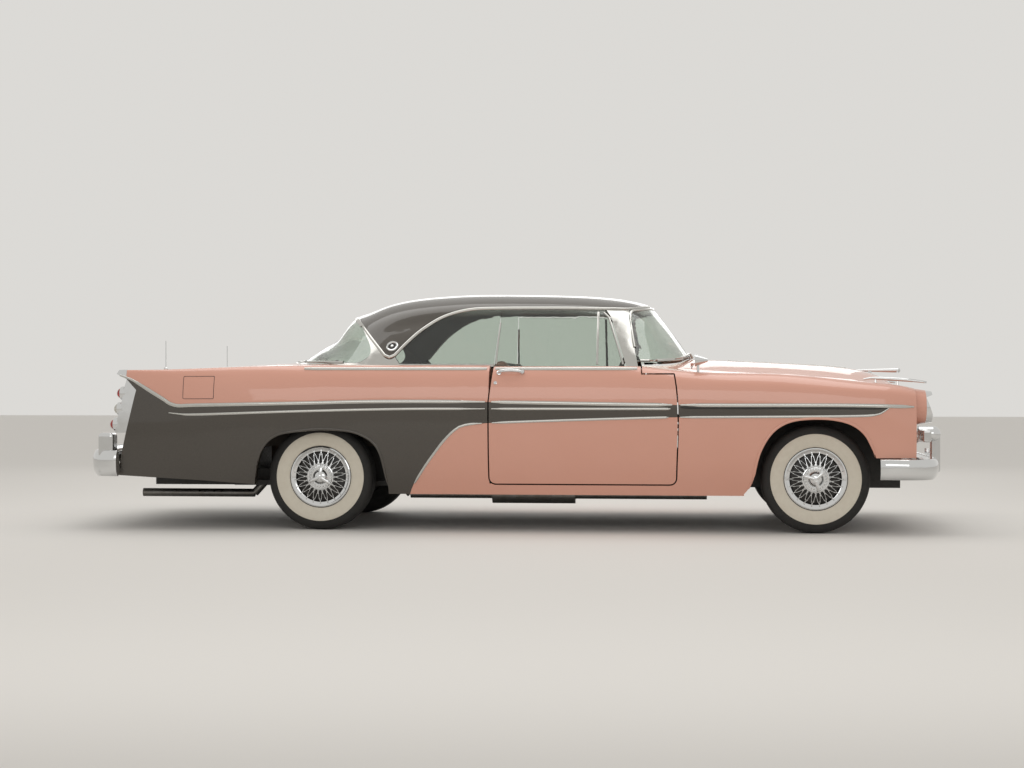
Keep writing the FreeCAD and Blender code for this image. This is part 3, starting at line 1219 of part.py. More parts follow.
def make_chassis():
    """Frame, floor, engine, driveline, exhaust, tank, rear axle and springs."""
    rails = []
    axle = "front_axle_place - wheelbase"
    kick_top = "trunk_floor_top - floor_thickness - seat_gap"
    for side, sign in enumerate(("", "-")):
        y = ("rail_place - rail_width / 2", "rail_place + rail_width / 2")
        y = y if not sign else ("-(%s)" % y[1], "-(%s)" % y[0])
        low, lifted = ("rail_top - rail_height", "rail_top"), ("rail_top - rail_height", kick_top)
        for name, x, z in (
            ("front", (axle + " + kick_reach", "frame_front"), low),
            ("rear", ("frame_rear", axle + " - kick_reach"), low),
            ("front_kick", (axle + " + kick_reach - kick_width", axle + " + kick_reach"), lifted),
            ("rear_kick", (axle + " - kick_reach", axle + " - kick_reach + kick_width"), lifted),
            ("arch", (axle + " - kick_reach", axle + " + kick_reach"),
             (kick_top + " - kick_height", kick_top)),
        ):
            rails.append(box_between("rail_%s_%d" % (name, side), x, y, z))
    for number, place in enumerate(("frame_front - crossmember_width", "frame_rear",
                                    "heel_place - crossmember_width",
                                    "gearbox_rear - crossmember_width")):
        rails.append(box_between("crossmember_%d" % number, (place, place + " + crossmember_width"),
                                 ("-rail_place", "rail_place"),
                                 ("rail_top - rail_height", "rail_top - rail_height + crossmember_height")))
    rails.append(box_between("engine_mount", ("engine_mount_place",
                                              "engine_mount_place + crossmember_width"),
                             ("-rail_place", "rail_place"), ("rail_top - rail_height",
                                                             "engine_bottom - seat_gap")))
    name_node(united("chassis_frame", rails), "chassis_frame")
    thick = "floor_thickness"
    floor = [box_between("floor_plate", ("heel_place", "firewall_place"),
                         ("-floor_half_width", "floor_half_width"),
                         ("floor_top - " + thick, "floor_top")),
             box_between("firewall", ("firewall_place - " + thick, "firewall_place"),
                         ("-firewall_half_width", "firewall_half_width"),
                         ("floor_top - " + thick, "firewall_top")),
             box_between("tunnel", ("heel_place", "firewall_place"),
                         ("-tunnel_half_width", "tunnel_half_width"),
                         ("floor_top - " + thick, "floor_top + tunnel_rise")),
             box_between("heel_board", ("heel_place - " + thick, "heel_place"),
                         ("-trunk_floor_half_width", "trunk_floor_half_width"),
                         ("floor_top - " + thick, "trunk_floor_top")),
             box_between("trunk_floor", ("trunk_floor_rear", "heel_place"),
                         ("-trunk_floor_half_width", "trunk_floor_half_width"),
                         ("trunk_floor_top - " + thick,
                                                                                  "trunk_floor_top"))]
    floor.append(box_between("bulkhead", ("bulkhead_place - " + thick, "bulkhead_place"),
                             ("-trunk_floor_half_width", "trunk_floor_half_width"),
                             ("trunk_floor_top - " + thick,
                                                                                      "shelf_top")))
    floor.append(box_between("parcel_shelf", ("shelf_rear", "bulkhead_place"),
                             ("-trunk_floor_half_width", "trunk_floor_half_width"),
                             ("shelf_top - " + thick, "shelf_top")))
    for side, sign in enumerate(("", "-")):
        for name, y, z in (("wall", ("trunk_floor_half_width - " + thick, "trunk_floor_half_width"),
                            ("trunk_floor_top", "wheelhouse_top")),
                           ("top", ("trunk_floor_half_width - " + thick, "wheelhouse_outer"),
                            ("wheelhouse_top - " + thick, "wheelhouse_top"))):
            y = y if not sign else ("-(%s)" % y[1], "-(%s)" % y[0])
            floor.append(box_between("wheelhouse_%s_%d" % (name, side),
                                     (axle + " - wheelhouse_reach", axle + " + wheelhouse_reach"), y, z))
    for side, sign in enumerate(("", "-")):
        for name, outer, top in (("wall", "floor_half_width", "floor_top"),
                                 ("foot", "sill_foot_reach", "sill_foot_top")):
            y = ("floor_half_width - " + thick, outer)
            y = y if not sign else ("-(%s)" % y[1], "-(%s)" % y[0])
            floor.append(box_between("sill_%s_%d" % (name, side), ("sill_foot_rear", "sill_foot_front"), y,
                                     ("sill_foot_bottom", top)))
    tunnel_core = box_between("tunnel_core", ("heel_place + " + thick, "firewall_place + cut_overrun"),
                              ("-tunnel_half_width + " + thick, "tunnel_half_width - " + thick),
                              ("floor_top - 2 * " + thick, "floor_top + tunnel_rise - " + thick))
    plates = less("floor_plates", united("floor_solid", floor), tunnel_core)
    beside = gathered("floor_neighbours", [nodes["sills"], nodes["cowl"]])
    name_node(less("floor_pan", plates, beside), "floor_pan")
    engine = padded_body("engine", "XZ_Plane", [("engine_rear", "engine_bottom"),
                                                ("engine_front", "engine_bottom"),
                                                ("engine_front", "engine_top"),
                                                ("engine_rear", "engine_top")],
                         "2 * engine_half_width", "tank_edge_radius")
    name_node(engine, "engine_block")
    box = rod("gearbox", "gearbox_radius", "engine_rear - gearbox_rear", "gearbox_rear", "0",
              "propshaft_height", "X")
    shaft = rod("propshaft", "propshaft_radius",
                "gearbox_rear - (%s) - axle_bowl_radius" % axle, axle + " + axle_bowl_radius", "0",
                "propshaft_height", "X")
    name_node(united("driveline", [box, shaft]), "driveline")
    tube = rod("axle_tube", "axle_tube_radius", "rear_track - 2 * drum_back - 2 * backing_plate_gap", axle,
               "-rear_track / 2 + drum_back + backing_plate_gap", "tyre_radius", "Y")
    bowl = document.addObject("Part::Sphere", "axle_bowl")
    bind(bowl, Radius="axle_bowl_radius")
    move(bowl, axle, "0", "tyre_radius")
    stubs = rod("axle_stubs", "spindle_radius", "rear_track - 2 * spindle_stop - spindle_radius / 2", axle,
                "-rear_track / 2 + spindle_stop + spindle_radius / 4", "tyre_radius", "Y")
    plates = []
    for side, place in enumerate(("rear_track / 2 - drum_back - backing_plate_gap - backing_plate_thickness",
                                  "-rear_track / 2 + drum_back + backing_plate_gap")):
        plates.append(rod("rear_plate_%d" % side, "backing_plate_radius", "backing_plate_thickness", axle,
                          place,
                          "tyre_radius", "Y"))
    name_node(united("rear_axle", [tube, bowl, stubs] + plates), "rear_axle")
    leaf = box_between("leaf", (axle + " - leaf_half_length", axle + " + leaf_half_length"),
                       ("leaf_place - leaf_width / 2", "leaf_place + leaf_width / 2"),
                       ("tyre_radius - axle_tube_radius - leaf_thickness",
                        "tyre_radius - axle_tube_radius"))
    hangers = []
    for number, end in enumerate((axle + " - leaf_half_length", axle + " + leaf_half_length - leaf_width")):
        hangers.append(box_between("hanger_%d" % number, (end, end + " + leaf_width"),
                                   ("rail_place + rail_width / 2", "leaf_place"),
                                   ("tyre_radius - axle_tube_radius - leaf_thickness",
                                    "tyre_radius - axle_tube_radius")))
    spring = united("leaf_left", [leaf] + hangers)
    name_node(gathered("rear_springs", both_sides("leaf_right", spring)), "rear_springs")
    tank = padded_body("tank", "XZ_Plane", [("tank_rear", "tank_bottom"), ("tank_front", "tank_bottom"),
                                            ("tank_front", kick_top), ("tank_rear", kick_top)],
                       "2 * tank_half_width", "tank_edge_radius")
    name_node(tank, "fuel_tank")
    make_exhaust()
    aprons = []
    for side, sign in enumerate(("", "-")):
        y = ("apron_place", "apron_place + floor_thickness")
        top = ("apron_place", "apron_reach")
        if sign:
            y = ("-(%s)" % y[1], "-(%s)" % y[0])
            top = ("-(%s)" % top[1], "-(%s)" % top[0])
        aprons.append(box_between("apron_wall_%d" % side, ("firewall_place + seat_gap", "apron_front"), y,
                                  ("rail_top + seat_gap", "apron_top")))
        aprons.append(box_between("apron_shelf_%d" % side, ("firewall_place + seat_gap", "apron_front"),
                                  top,
                                  ("apron_top - floor_thickness", "apron_top")))
    aprons.append(box_between("radiator", ("radiator_place - 2 * floor_thickness", "radiator_place"),
                              ("-apron_place", "apron_place"), ("rail_top + seat_gap", "radiator_top")))
    return aprons


def make_exhaust():
    """The tail pipe: bent round the axle, with its muffler."""
    body = document.addObject("PartDesign::Body", "exhaust")
    path = body.newObject("Sketcher::SketchObject", "ExhaustPath")
    path.AttachmentSupport = [(origin_plane(body, "XZ_Plane"), "")]
    path.MapMode = "FlatFace"
    stops = [("exhaust_front", "exhaust_height"), ("exhaust_kick + 2 * exhaust_bend", "exhaust_height"),
             ("exhaust_kick - exhaust_bend", "exhaust_over_axle"), ("exhaust_kick - 7 * exhaust_bend",
                                                                     "exhaust_over_axle"),
             ("exhaust_kick - 10 * exhaust_bend", "exhaust_height"), ("exhaust_outlet", "exhaust_height")]
    places = [Vector(value(x), value(y), 0) for x, y in stops]
    for start, end in zip(places, places[1:]):
        path.addGeometry(Part.LineSegment(start, end), False)
    for number in range(len(places) - 2):
        path.addConstraint(Sketcher.Constraint("Coincident", number, 2, number + 1, 1))
    for number, (x, y) in enumerate(stops):
        line, end = (number, 1) if number < len(places) - 1 else (number - 1, 2)
        for kind, text in (("DistanceX", x), ("DistanceY", y)):
            index = path.addConstraint(Sketcher.Constraint(kind, -1, 1, line, end, value(text)))
            path.setExpression("Constraints[%d]" % index, bound(text))
    ring = body.newObject("Sketcher::SketchObject", "ExhaustRing")
    ring.AttachmentSupport = [(origin_plane(body, "YZ_Plane"), "")]
    ring.MapMode = "FlatFace"
    ring.setExpression("AttachmentOffset.Base.z", bound("exhaust_front"))
    ring.addGeometry(Part.Circle(Vector(0, value("exhaust_height"), 0), Vector(0, 0, 1),
                                 value("exhaust_radius")), False)
    for kind, text in (("DistanceX", "0"), ("DistanceY", "exhaust_height")):
        index = ring.addConstraint(Sketcher.Constraint(kind, -1, 1, 0, 3, value(text)))
        if text != "0":
            ring.setExpression("Constraints[%d]" % index, bound(text))
    index = ring.addConstraint(Sketcher.Constraint("Radius", 0, value("exhaust_radius")))
    ring.setExpression("Constraints[%d]" % index, bound("exhaust_radius"))
    document.recompute()
    pipe = body.newObject("PartDesign::AdditivePipe", "ExhaustPipe")
    pipe.Profile = ring
    pipe.Spine = path
    pipe.Transition = "Round corner"
    move(body, "0", "-exhaust_place", "0")
    muffler = rod("muffler", "muffler_radius", "muffler_length", "muffler_front - muffler_length",
                  "-exhaust_place",
                  "exhaust_height", "X")
    rail_foot = "rail_top - rail_height - seat_gap"
    hanger_x = ("muffler_front + hanger_width", "muffler_front + 2 * hanger_width")
    strap = box_between("exhaust_strap", hanger_x, ("-exhaust_place - hanger_thickness / 2",
                                                    "-exhaust_place + hanger_thickness / 2"),
                        ("exhaust_height", rail_foot))
    foot = box_between("exhaust_foot", hanger_x, ("-rail_place", "-exhaust_place + hanger_thickness / 2"),
                       (rail_foot + " - hanger_thickness", rail_foot))
    name_node(united("exhaust_system", [body, muffler, strap, foot]), "exhaust_system")


def curved_loop(points):
    """A smooth closed wire."""
    curve = Part.BSplineCurve()
    curve.interpolate(Points=points, PeriodicFlag=True)
    return Part.Wire(curve.toShape())


def swept_bar(path, profile):
    """A bar along a plan path of (X, Y); its profile is (outward, Z) at each stop."""
    loops = []
    for number, (x, y) in enumerate(path):
        before = path[max(number - 1, 0)]
        after = path[min(number + 1, len(path) - 1)]
        run = math.hypot(after[0] - before[0], after[1] - before[1])
        out = Vector((after[1] - before[1]) / run, -(after[0] - before[0]) / run, 0)
        loops.append(curved_loop([Vector(x, y, z) + out * reach for reach, z in profile]))
    return Part.makeLoft(loops, True, False)


def scaled_points(shares, first, second):
    return [(a * first, b * second) for a, b in shares]


front_bar_path_shares = ((2.372, 0.966), (2.500, 0.968), (2.610, 0.953), (2.690, 0.892), (2.735, 0.765),
                         (2.757, 0.560),
                         (2.768, 0.300), (2.770, 0.000))
rear_bar_path_shares = ((-2.540, 0.966), (-2.630, 0.950), (-2.700, 0.885), (-2.738, 0.750), (-2.758, 0.540),
                        (-2.769, 0.300), (-2.772, 0.000))
bar_profile_shares = ((0.000, 0.350), (0.018, 0.375), (0.026, 0.420), (0.022, 0.455), (0.000, 0.480),
                      (-0.020, 0.462),
                      (-0.026, 0.415), (-0.020, 0.370))
rear_profile_shares = ((0.000, 0.352), (0.018, 0.380), (0.024, 0.430), (0.020, 0.490), (0.000, 0.520),
                       (-0.020, 0.495),
                       (-0.026, 0.435), (-0.020, 0.375))


def whole_bar(path_shares, profile_shares, turn):
    half = scaled_points(path_shares, grid_long, grid_wide)
    path = half + [(x, -y) for x, y in reversed(half[:-1])]
    if turn < 0:
        path = path[::-1]
    return swept_bar(path, scaled_points(profile_shares, grid_wide, grid_high))


def rounded(shape, radius):
    return shape.makeFillet(radius, shape.Edges)


def plate_bracket(place, height):
    """A blank number plate with two bolt holes."""
    half, tall, thick = value("plate_half_width"), value("plate_half_height"), value("plate_thickness")
    plate = block(Vector(place, -half, height - tall), Vector(place + thick, half, height + tall))
    for side in (-1, 1):
        centre = Vector(place - thick, side * value("plate_hole_spacing") / 2, height + tall / 2)
        plate = plate.cut(cylinder(value("plate_hole_radius"), 3 * thick, centre, Vector(1, 0, 0)))
    return plate


def make_bumpers():
    """Bumpers with pods, guards and brackets to the frame."""
    soft = value("bumper_edge_radius")
    bar = whole_bar(front_bar_path_shares, bar_profile_shares, -1)
    pods = []
    for side in (-1, 1):
        centre = Vector(value("pod_place"), side * value("pod_side"), value("pod_height"))
        pod = cylinder(value("pod_radius"), value("pod_length"), centre, Vector(1, 0, 0))
        tip = Part.makeSphere(value("pod_radius"))
        tip.translate(centre + Vector(value("pod_length"), 0, 0))
        pods.append(pod.fuse(tip))
        pods.append(rounded(slab("front guard", side), value("guard_edge_radius")))
        pods.append(slab("front bracket", side))
        pods.append(rounded(slab("front upper bar", side), value("guard_edge_radius")))
    plate = plate_bracket(value("front_plate_place"), value("front_plate_height"))
    panel("front_bumper", bar.fuse(pods + [plate, slab("front plate boss")]))
    bar = whole_bar(rear_bar_path_shares, rear_profile_shares, 1)
    pods = []
    for side in (-1, 1):
        pods.append(rounded(slab("rear pod", side), soft))
        pods.append(slab("rear bracket", side))
    plate = plate_bracket(-value("rear_plate_place"), value("rear_plate_height"))
    panel("rear_bumper", bar.fuse(pods + [plate, slab("rear plate boss")]))


def stadium(half_width, half_height, centre_height, low, high):
    """A long round-ended block across the car, between two X."""
    run = half_width - half_height
    box = block(Vector(low, -run, centre_height - half_height),
                Vector(high, run, centre_height + half_height))
    ends = [cylinder(half_height, high - low, Vector(low, side * run, centre_height), Vector(1, 0, 0))
            for side in (-1, 1)]
    return box.fuse(ends).removeSplitter()


def lamp_places(side_text, height_text):
    return [Vector(0, side * value(side_text), value(height_text)) for side in (-1, 1)]


def make_front():
    """Nose panel, grille, headlamp rims and lamp glasses."""
    face = value("headlamp_back") + value("cabin_skin")
    back = value("headlamp_back")
    rim = value("headlamp_bezel_radius")
    fit = value("seat_gap")
    wide, tall, middle = value("grille_half_width"), value("grille_half_height"), value("grille_height")
    frame = value("grille_frame_radius")
    nose = slab("nose").fuse(slab("nose middle"))
    nose = nose.cut([nodes["front_wing_left"].Shape, nodes["front_wing_right"].Shape])
    nose = nose.cut(stadium(wide + fit, tall + fit, middle, back - rim, face + rim))
    for centre in lamp_places("headlamp_place", "headlamp_height"):
        nose = nose.cut(cylinder(rim + fit, 2 * rim, centre + Vector(back - rim, 0, 0), Vector(1, 0, 0)))
    for centre in lamp_places("parking_lamp_place", "parking_lamp_height"):
        nose = nose.cut(cylinder(value("parking_lamp_radius") + fit, 2 * rim,
                                 centre + Vector(back - rim, 0, 0),
                                 Vector(1, 0, 0)))
    panel("nose_panel", nose)
    front = value("grille_face")
    ring = stadium(wide, tall, middle, back, front).cut(
        stadium(wide - frame, tall - frame, middle, back - frame, front + frame))
    bar = value("grille_bar_radius")
    pitch = value("grille_bar_pitch")
    inside = stadium(wide - frame / 2, tall - frame / 2, middle, back, front)
    slats = []
    rows = int((tall - frame) / pitch)
    for row in range(-rows, rows + 1):
        height = middle + row * pitch
        slats.append(block(Vector(back + frame, -wide, height - bar),
                           Vector(back + 2 * frame, wide, height + bar)))
    columns = int((wide - frame) / (2 * pitch))
    for column in range(-columns, columns + 1):
        side = column * 2 * pitch
        slats.append(block(Vector(back + frame, side - bar, middle - tall),
                           Vector(back + 2 * frame - bar, side + bar, middle + tall)))
    mesh = slats[0].fuse(slats[1:]).common(inside)
    panel("grille", ring.fuse(mesh))
    rims = []
    glasses = []
    for centre in lamp_places("headlamp_place", "headlamp_height"):
        length = value("headlamp_hood_front") - back
        x_foot = centre + Vector(back, 0, 0)
        barrel = Part.makeCone(rim, rim - frame, length, x_foot, Vector(1, 0, 0))
        bore = cylinder(value("headlamp_radius"), 2 * length, x_foot + Vector(frame, 0, 0), Vector(1, 0, 0))
        slant = Part.makeBox(length, 3 * rim, 3 * rim)
        slant.translate(Vector(0, -1.5 * rim, -3 * rim))
        slant.rotate(Vector(0, 0, 0), Vector(0, 1, 0), -value("lamp_hood_slant"))
        slant.translate(Vector(value("headlamp_face") + frame, centre.y, centre.z + rim / 2))
        rims.append(barrel.cut([bore, slant]))
        lens_foot = centre + Vector(back + frame + fit, 0, 0)
        depth = value("headlamp_face") - lens_foot.x - value("lens_rise")
        glass_radius = value("headlamp_radius") - fit
        drum = cylinder(glass_radius, depth, lens_foot, Vector(1, 0, 0))
        rise = value("lens_rise")
        ball = (glass_radius ** 2 + rise ** 2) / (2 * rise)
        dome = Part.makeSphere(ball)
        dome.translate(lens_foot + Vector(depth + rise - ball, 0, 0))
        glasses.append(drum.fuse(dome.common(cylinder(glass_radius, 2 * depth, lens_foot,
                                                      Vector(1, 0, 0)))))
    for centre in lamp_places("parking_lamp_place", "parking_lamp_height"):
        radius = value("parking_lamp_radius")
        foot = centre + Vector(back, 0, 0)
        glasses.append(Part.makeCone(radius, radius - frame / 2, front - back, foot, Vector(1, 0, 0)))
    panel("headlamp_rims", Part.Compound(rims))
    panel("front_lamp_glasses", Part.Compound(glasses))


def make_tail():
    """Tail panel, lamp towers and their lenses."""
    quarters = [nodes["rear_quarter_left"].Shape, nodes["rear_quarter_right"].Shape]
    tower = side_prism(outline(tail_housing_shares), value("tail_tower_inner"),
                       value("tail_tower_outer")).cut(quarters)
    plate = slab("tail").cut([slab("deck lid opening"), tower, mirrored(tower)] + quarters)
    panel("tail_panel", plate)
    radius, length = value("tail_lamp_radius"), value("tail_lamp_length")
    lenses = []
    for x, z in tail_lamp_shares:
        foot = Vector(x * grid_long, value("tail_lamp_side"), z * grid_high)
        socket = cylinder(radius + value("seat_gap"), 2 * radius, foot, Vector(-1, 0, 0))
        tower = tower.cut(socket)
        lens = cylinder(radius, length, foot, Vector(-1, 0, 0))
        ball = Part.makeSphere(radius)
        ball.translate(foot - Vector(length, 0, 0))
        lenses.append(lens.fuse(ball))
    panel("tail_lamp_towers", Part.Compound([tower, mirrored(tower)]))
    panel("tail_lamp_lenses", Part.Compound(lenses + [mirrored(lens) for lens in lenses]))


def seat(label, place, width, cushion_low):
    """A bench seat: cushion and leaning back."""
    cushion = padded_body(label + "_cushion", "XZ_Plane", [
        (place, cushion_low), (place + " + seat_cushion_length", cushion_low),
        (place + " + seat_cushion_length", "seat_cushion_height + seat_edge_radius / 2"),
        (place, "seat_cushion_height")], width, "seat_edge_radius")
    back = padded_body(label + "_back", "XZ_Plane", [
        ("0", "0"), ("seat_back_thickness", "0"), ("seat_back_thickness - seat_edge_radius",
                                                   "seat_back_height"),
        ("0", "seat_back_height")], width, "seat_edge_radius")
    back.Placement = Placement(Vector(), Rotation(Vector(0, 1, 0), -value("seat_rake")))
    move(back, place + " - seat_back_thickness / 4", "0", "seat_cushion_height - seat_edge_radius")
    return name_node(united(label, [cushion, back]), label)


def make_inside():
    """Seats, dashboard, steering column and wheel."""
    seat("front_seat", "front_seat_place - seat_cushion_length / 2", "seat_width",
         "floor_top + tunnel_rise + seat_gap")
    seat("rear_seat", "rear_seat_place - seat_cushion_length / 2", "rear_seat_width",
         "trunk_floor_top + seat_gap")
    dash_front = "firewall_place - floor_thickness - seat_gap"
    dash = padded_body("dash", "XZ_Plane", [("dash_rear", "dash_bottom"), (dash_front, "dash_bottom"),
                                            (dash_front, "dash_top"), ("dash_rear", "dash_top")],
                       "2 * dash_half_width", "dash_edge_radius")
    name_node(less("dashboard", dash, nodes["cowl"]), "dashboard")
    tilt = value("steering_tilt")
    turn = Rotation(Vector(0, 1, 0), -tilt)
    column = document.addObject("Part::Cylinder", "column")
    bind(column, Radius="column_radius", Height="steering_column_length")
    column.Placement = Placement(Vector(), Rotation(Vector(0, 1, 0), 180 - tilt))
    move(column, "steering_wheel_place + (steering_rim_radius * 1.5 + seat_gap) * sin(steering_tilt)",
         "steering_wheel_side",
         "steering_wheel_height - (steering_rim_radius * 1.5 + seat_gap) * cos(steering_tilt)")
    name_node(less("steering_column", column, nodes["floor_pan"]), "steering_column")
    rim = document.addObject("Part::Torus", "steering_rim")
    bind(rim, Radius1="steering_wheel_radius", Radius2="steering_rim_radius")
    hub = rod("steering_hub", "steering_hub_radius", "steering_rim_radius * 3", "0", "0",
              "-steering_rim_radius * 1.5")
    spoke = rod("steering_spoke", "steering_spoke_radius", "2 * steering_wheel_radius", "0",
                "-steering_wheel_radius",
                "0", "Y")
    wheel = united("steering_wheel", [rim, hub, spoke])
    wheel.Placement = Placement(Vector(), turn)
    move(wheel, "steering_wheel_place", "steering_wheel_side", "steering_wheel_height")
    name_node(wheel, "steering_wheel")


def make_outside():
    """Wing mirrors, rear antennas and the hood ornament."""
    stem = rod("mirror_stem", "mirror_stem_radius", "mirror_head_height - mirror_foot_height",
               "mirror_place",
               "mirror_side", "mirror_foot_height")
    head = document.addObject("Part::Cone", "mirror_head")
    bind(head, Radius1="mirror_head_radius", Radius2="mirror_stem_radius", Height="mirror_head_radius * 2")
    head.Placement = Placement(Vector(), Rotation(Vector(0, 1, 0), 90))
    move(head, "mirror_place - mirror_head_radius / 2", "mirror_side", "mirror_head_height")
    mirror = less("mirror_left", united("mirror_solid", [stem, head]), nodes["front_wing_left"])
    move(mirror, z="seat_gap")
    name_node(gathered("wing_mirrors", both_sides("mirror_right", mirror)), "wing_mirrors")
    ball = document.addObject("Part::Sphere", "antenna_ball")
    bind(ball, Radius="antenna_ball_radius")
    move(ball, "antenna_place", "antenna_side", "antenna_foot_height + antenna_ball_radius")
    mast = rod("antenna_mast", "antenna_radius", "antenna_top - antenna_foot_height - antenna_ball_radius",
               "antenna_place", "antenna_side", "antenna_foot_height + antenna_ball_radius")
    post = rod("antenna_post", "antenna_post_radius",
               "antenna_foot_height + antenna_ball_radius - antenna_post_low",
               "antenna_place", "antenna_side", "antenna_post_low")
    antenna = less("antenna_left", united("antenna_solid", [ball, mast, post]), nodes["rear_quarter_left"])
    move(antenna, z="seat_gap")
    name_node(gathered("antennas", both_sides("antenna_right", antenna)), "antennas")
    bar = document.addObject("Part::Cone", "ornament_bar")
    bind(bar, Radius1="ornament_tail_radius", Radius2="ornament_half_width")
    bind(bar, Height="ornament_front - ornament_rear - ornament_half_width")
    bar.Placement = Placement(Vector(), Rotation(Vector(0, 1, 0), 90))
    move(bar, "ornament_rear", "0", "ornament_height")
    tip = document.addObject("Part::Sphere", "ornament_tip")
    bind(tip, Radius="ornament_half_width")
    move(tip, "ornament_front - ornament_half_width", "0", "ornament_height")
    stand = box_between("ornament_stand", ("ornament_stand_rear", "ornament_stand_front"),
                        ("-ornament_half_width / 2", "ornament_half_width / 2"),
                        ("ornament_stand_low", "ornament_height"))
    name_node(less("hood_ornament", united("ornament_solid", [bar, tip, stand]), nodes["hood"]),
              "hood_ornament")


make_sides()
lid_posts = make_lids()
make_cabin()
make_wheels()
aprons = make_chassis()
make_front_axle()
make_bumpers()
make_front()
make_tail()
make_inside()
make_outside()
apron_panels = united("apron_panels", aprons)
document.recompute()
notch = block(Vector(value("front_axle_place - apron_notch_half"), -side_limit, 0),
              Vector(value("front_axle_place + apron_notch_half"), side_limit, value("apron_notch_top")))
wings = [nodes["front_wing_left"].Shape, nodes["front_wing_right"].Shape]
panel("inner_panels", apron_panels.Shape.fuse(lid_posts["hood"]).cut([notch] + wings))
panel("trunk_posts", Part.Compound(lid_posts["lid"]))
document.recompute()

for item in document.Objects:
    if "Invalid" in item.State or "Error" in item.State:
        raise RuntimeError("%s did not build: %s" % (item.Label, item.State))
for label, item in nodes.items():
    if item.Shape.isNull() or not item.Shape.isValid() or not item.Shape.Solids:
        raise RuntimeError("%s has no valid solid" % label)

os.makedirs("parts", exist_ok=True)
for label, item in nodes.items():
    item.Shape.exportStep("parts/%s.step" % label)
    print("%-22s %d solids %12.1f cm3" % (label, len(item.Shape.Solids),
                                          item.Shape.Volume / value("grid_long")))
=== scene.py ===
# %% [markdown]
# # Dressing a two-door hardtop car of the middle 1950s
# The car arrives as a fixed frame of solid panels, measured in metres: X points forward,
# Y to the car's left and Z up. This lesson gives each panel its finish and adds what a
# solid can't show: chrome strips, wire wheel covers, whitewall tyres and soft seats. The
# panels stay where they are, and every new piece is fitted to them.

# %% Load the frame
import math

import bmesh
import bpy
from mathutils import Matrix, Vector
from mathutils.bvhtree import BVHTree


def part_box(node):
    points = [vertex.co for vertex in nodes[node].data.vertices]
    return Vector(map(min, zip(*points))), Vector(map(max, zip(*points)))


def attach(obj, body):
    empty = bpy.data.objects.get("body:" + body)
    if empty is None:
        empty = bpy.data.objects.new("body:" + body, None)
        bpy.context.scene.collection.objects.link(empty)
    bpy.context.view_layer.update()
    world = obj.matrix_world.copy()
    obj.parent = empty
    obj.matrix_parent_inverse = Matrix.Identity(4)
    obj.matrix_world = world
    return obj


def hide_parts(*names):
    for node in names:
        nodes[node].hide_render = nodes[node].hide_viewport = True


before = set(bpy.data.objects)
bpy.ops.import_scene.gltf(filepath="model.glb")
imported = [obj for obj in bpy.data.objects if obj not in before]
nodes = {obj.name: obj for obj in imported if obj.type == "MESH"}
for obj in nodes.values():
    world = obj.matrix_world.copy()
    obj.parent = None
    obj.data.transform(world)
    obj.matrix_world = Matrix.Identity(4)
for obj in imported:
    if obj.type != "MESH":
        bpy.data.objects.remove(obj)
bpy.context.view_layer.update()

# %% [markdown]
# ## Colours and new finishes
# Paint makers give colours as screen values, while a shader works with linear light, so one
# function turns the first into the second. Shader nodes can be placed by hand in the
# editor, but a script can be read and repeated, so a second function adds any node with its
# settings and links, and a third starts a finish from its colour and its shader values.

# %% Colours and new finishes
def linear(hex_colour):
    """A screen colour such as D49A84 as linear red, green, blue and alpha."""
    parts = [int(hex_colour[i:i + 2], 16) / 255 for i in (0, 2, 4)]
    return [c / 12.92 if c <= 0.04045 else ((c + 0.055) / 1.055) ** 2.4 for c in parts] + [1]


def add_node(tree, kind, inputs=None, links=None, **settings):
    """Adds a node, sets its plain inputs and feeds the linked ones."""
    node = tree.nodes.new(kind)
    for name, value in settings.items():
        setattr(node, name, value)
    for name, value in (inputs or {}).items():
        node.inputs[name].default_value = value
    for name, source in (links or {}).items():
        tree.links.new(source, node.inputs[name])
    return node


def new_finish(name, hex_colour, **sockets):
    """A material with its Principled shader set; returns material, node tree and shader."""
    material = bpy.data.materials.new(name)
    material.use_nodes = True
    tree = material.node_tree
    shader = tree.nodes["Principled BSDF"]
    shader.inputs["Base Color"].default_value = linear(hex_colour)
    for socket, value in sockets.items():
        shader.inputs[socket.replace("_", " ")].default_value = value
    return material, tree, shader


print("salmon in linear light:", [round(c, 3) for c in linear("CF9580")])

# %% [markdown]
# ## Steps that the finishes share
# Dust, fading and fine waves could be painted as pictures. Here they are computed from the
# place on the piece, in metres, so they have a true size and no picture is needed. These
# functions name the steps: where a point is, a sum, a mottle of a given size, a range, a
# mix of two colours and a bump.

# %% Patterns and sums for finishes
def place_of(tree):
    """The point on the piece in metres, whole and split in X, Y and Z."""
    point = add_node(tree, "ShaderNodeTexCoord").outputs["Object"]
    split = add_node(tree, "ShaderNodeSeparateXYZ", links={0: point})
    return point, split.outputs


def compute(tree, operation, first, second=0.0):
    """One step of arithmetic between sockets or plain numbers."""
    node = add_node(tree, "ShaderNodeMath", operation=operation)
    for index, source in enumerate((first, second)):
        if isinstance(source, (int, float)):
            node.inputs[index].default_value = source
        else:
            tree.links.new(source, node.inputs[index])
    return node.outputs[0]


def wave(tree, source, length_mm):
    """A sine wave of the given length along a coordinate."""
    return compute(tree, "SINE", compute(tree, "MULTIPLY", source, 2 * math.pi * 1000 / length_mm))


def mottle(tree, point, size_mm, detail=2.0):
    """Soft noise whose blotches are about the given size on the real piece."""
    settings = {"Scale": 1000 / size_mm, "Detail": detail}
    return add_node(tree, "ShaderNodeTexNoise", settings, {"Vector": point}).outputs[0]


def spread(tree, source, low, high, from_low=0.3, from_high=0.7):
    """Stretches a noise into the range that a socket needs."""
    limits = {1: from_low, 2: from_high, 3: low, 4: high}
    return add_node(tree, "ShaderNodeMapRange", limits, {0: source}).outputs[0]


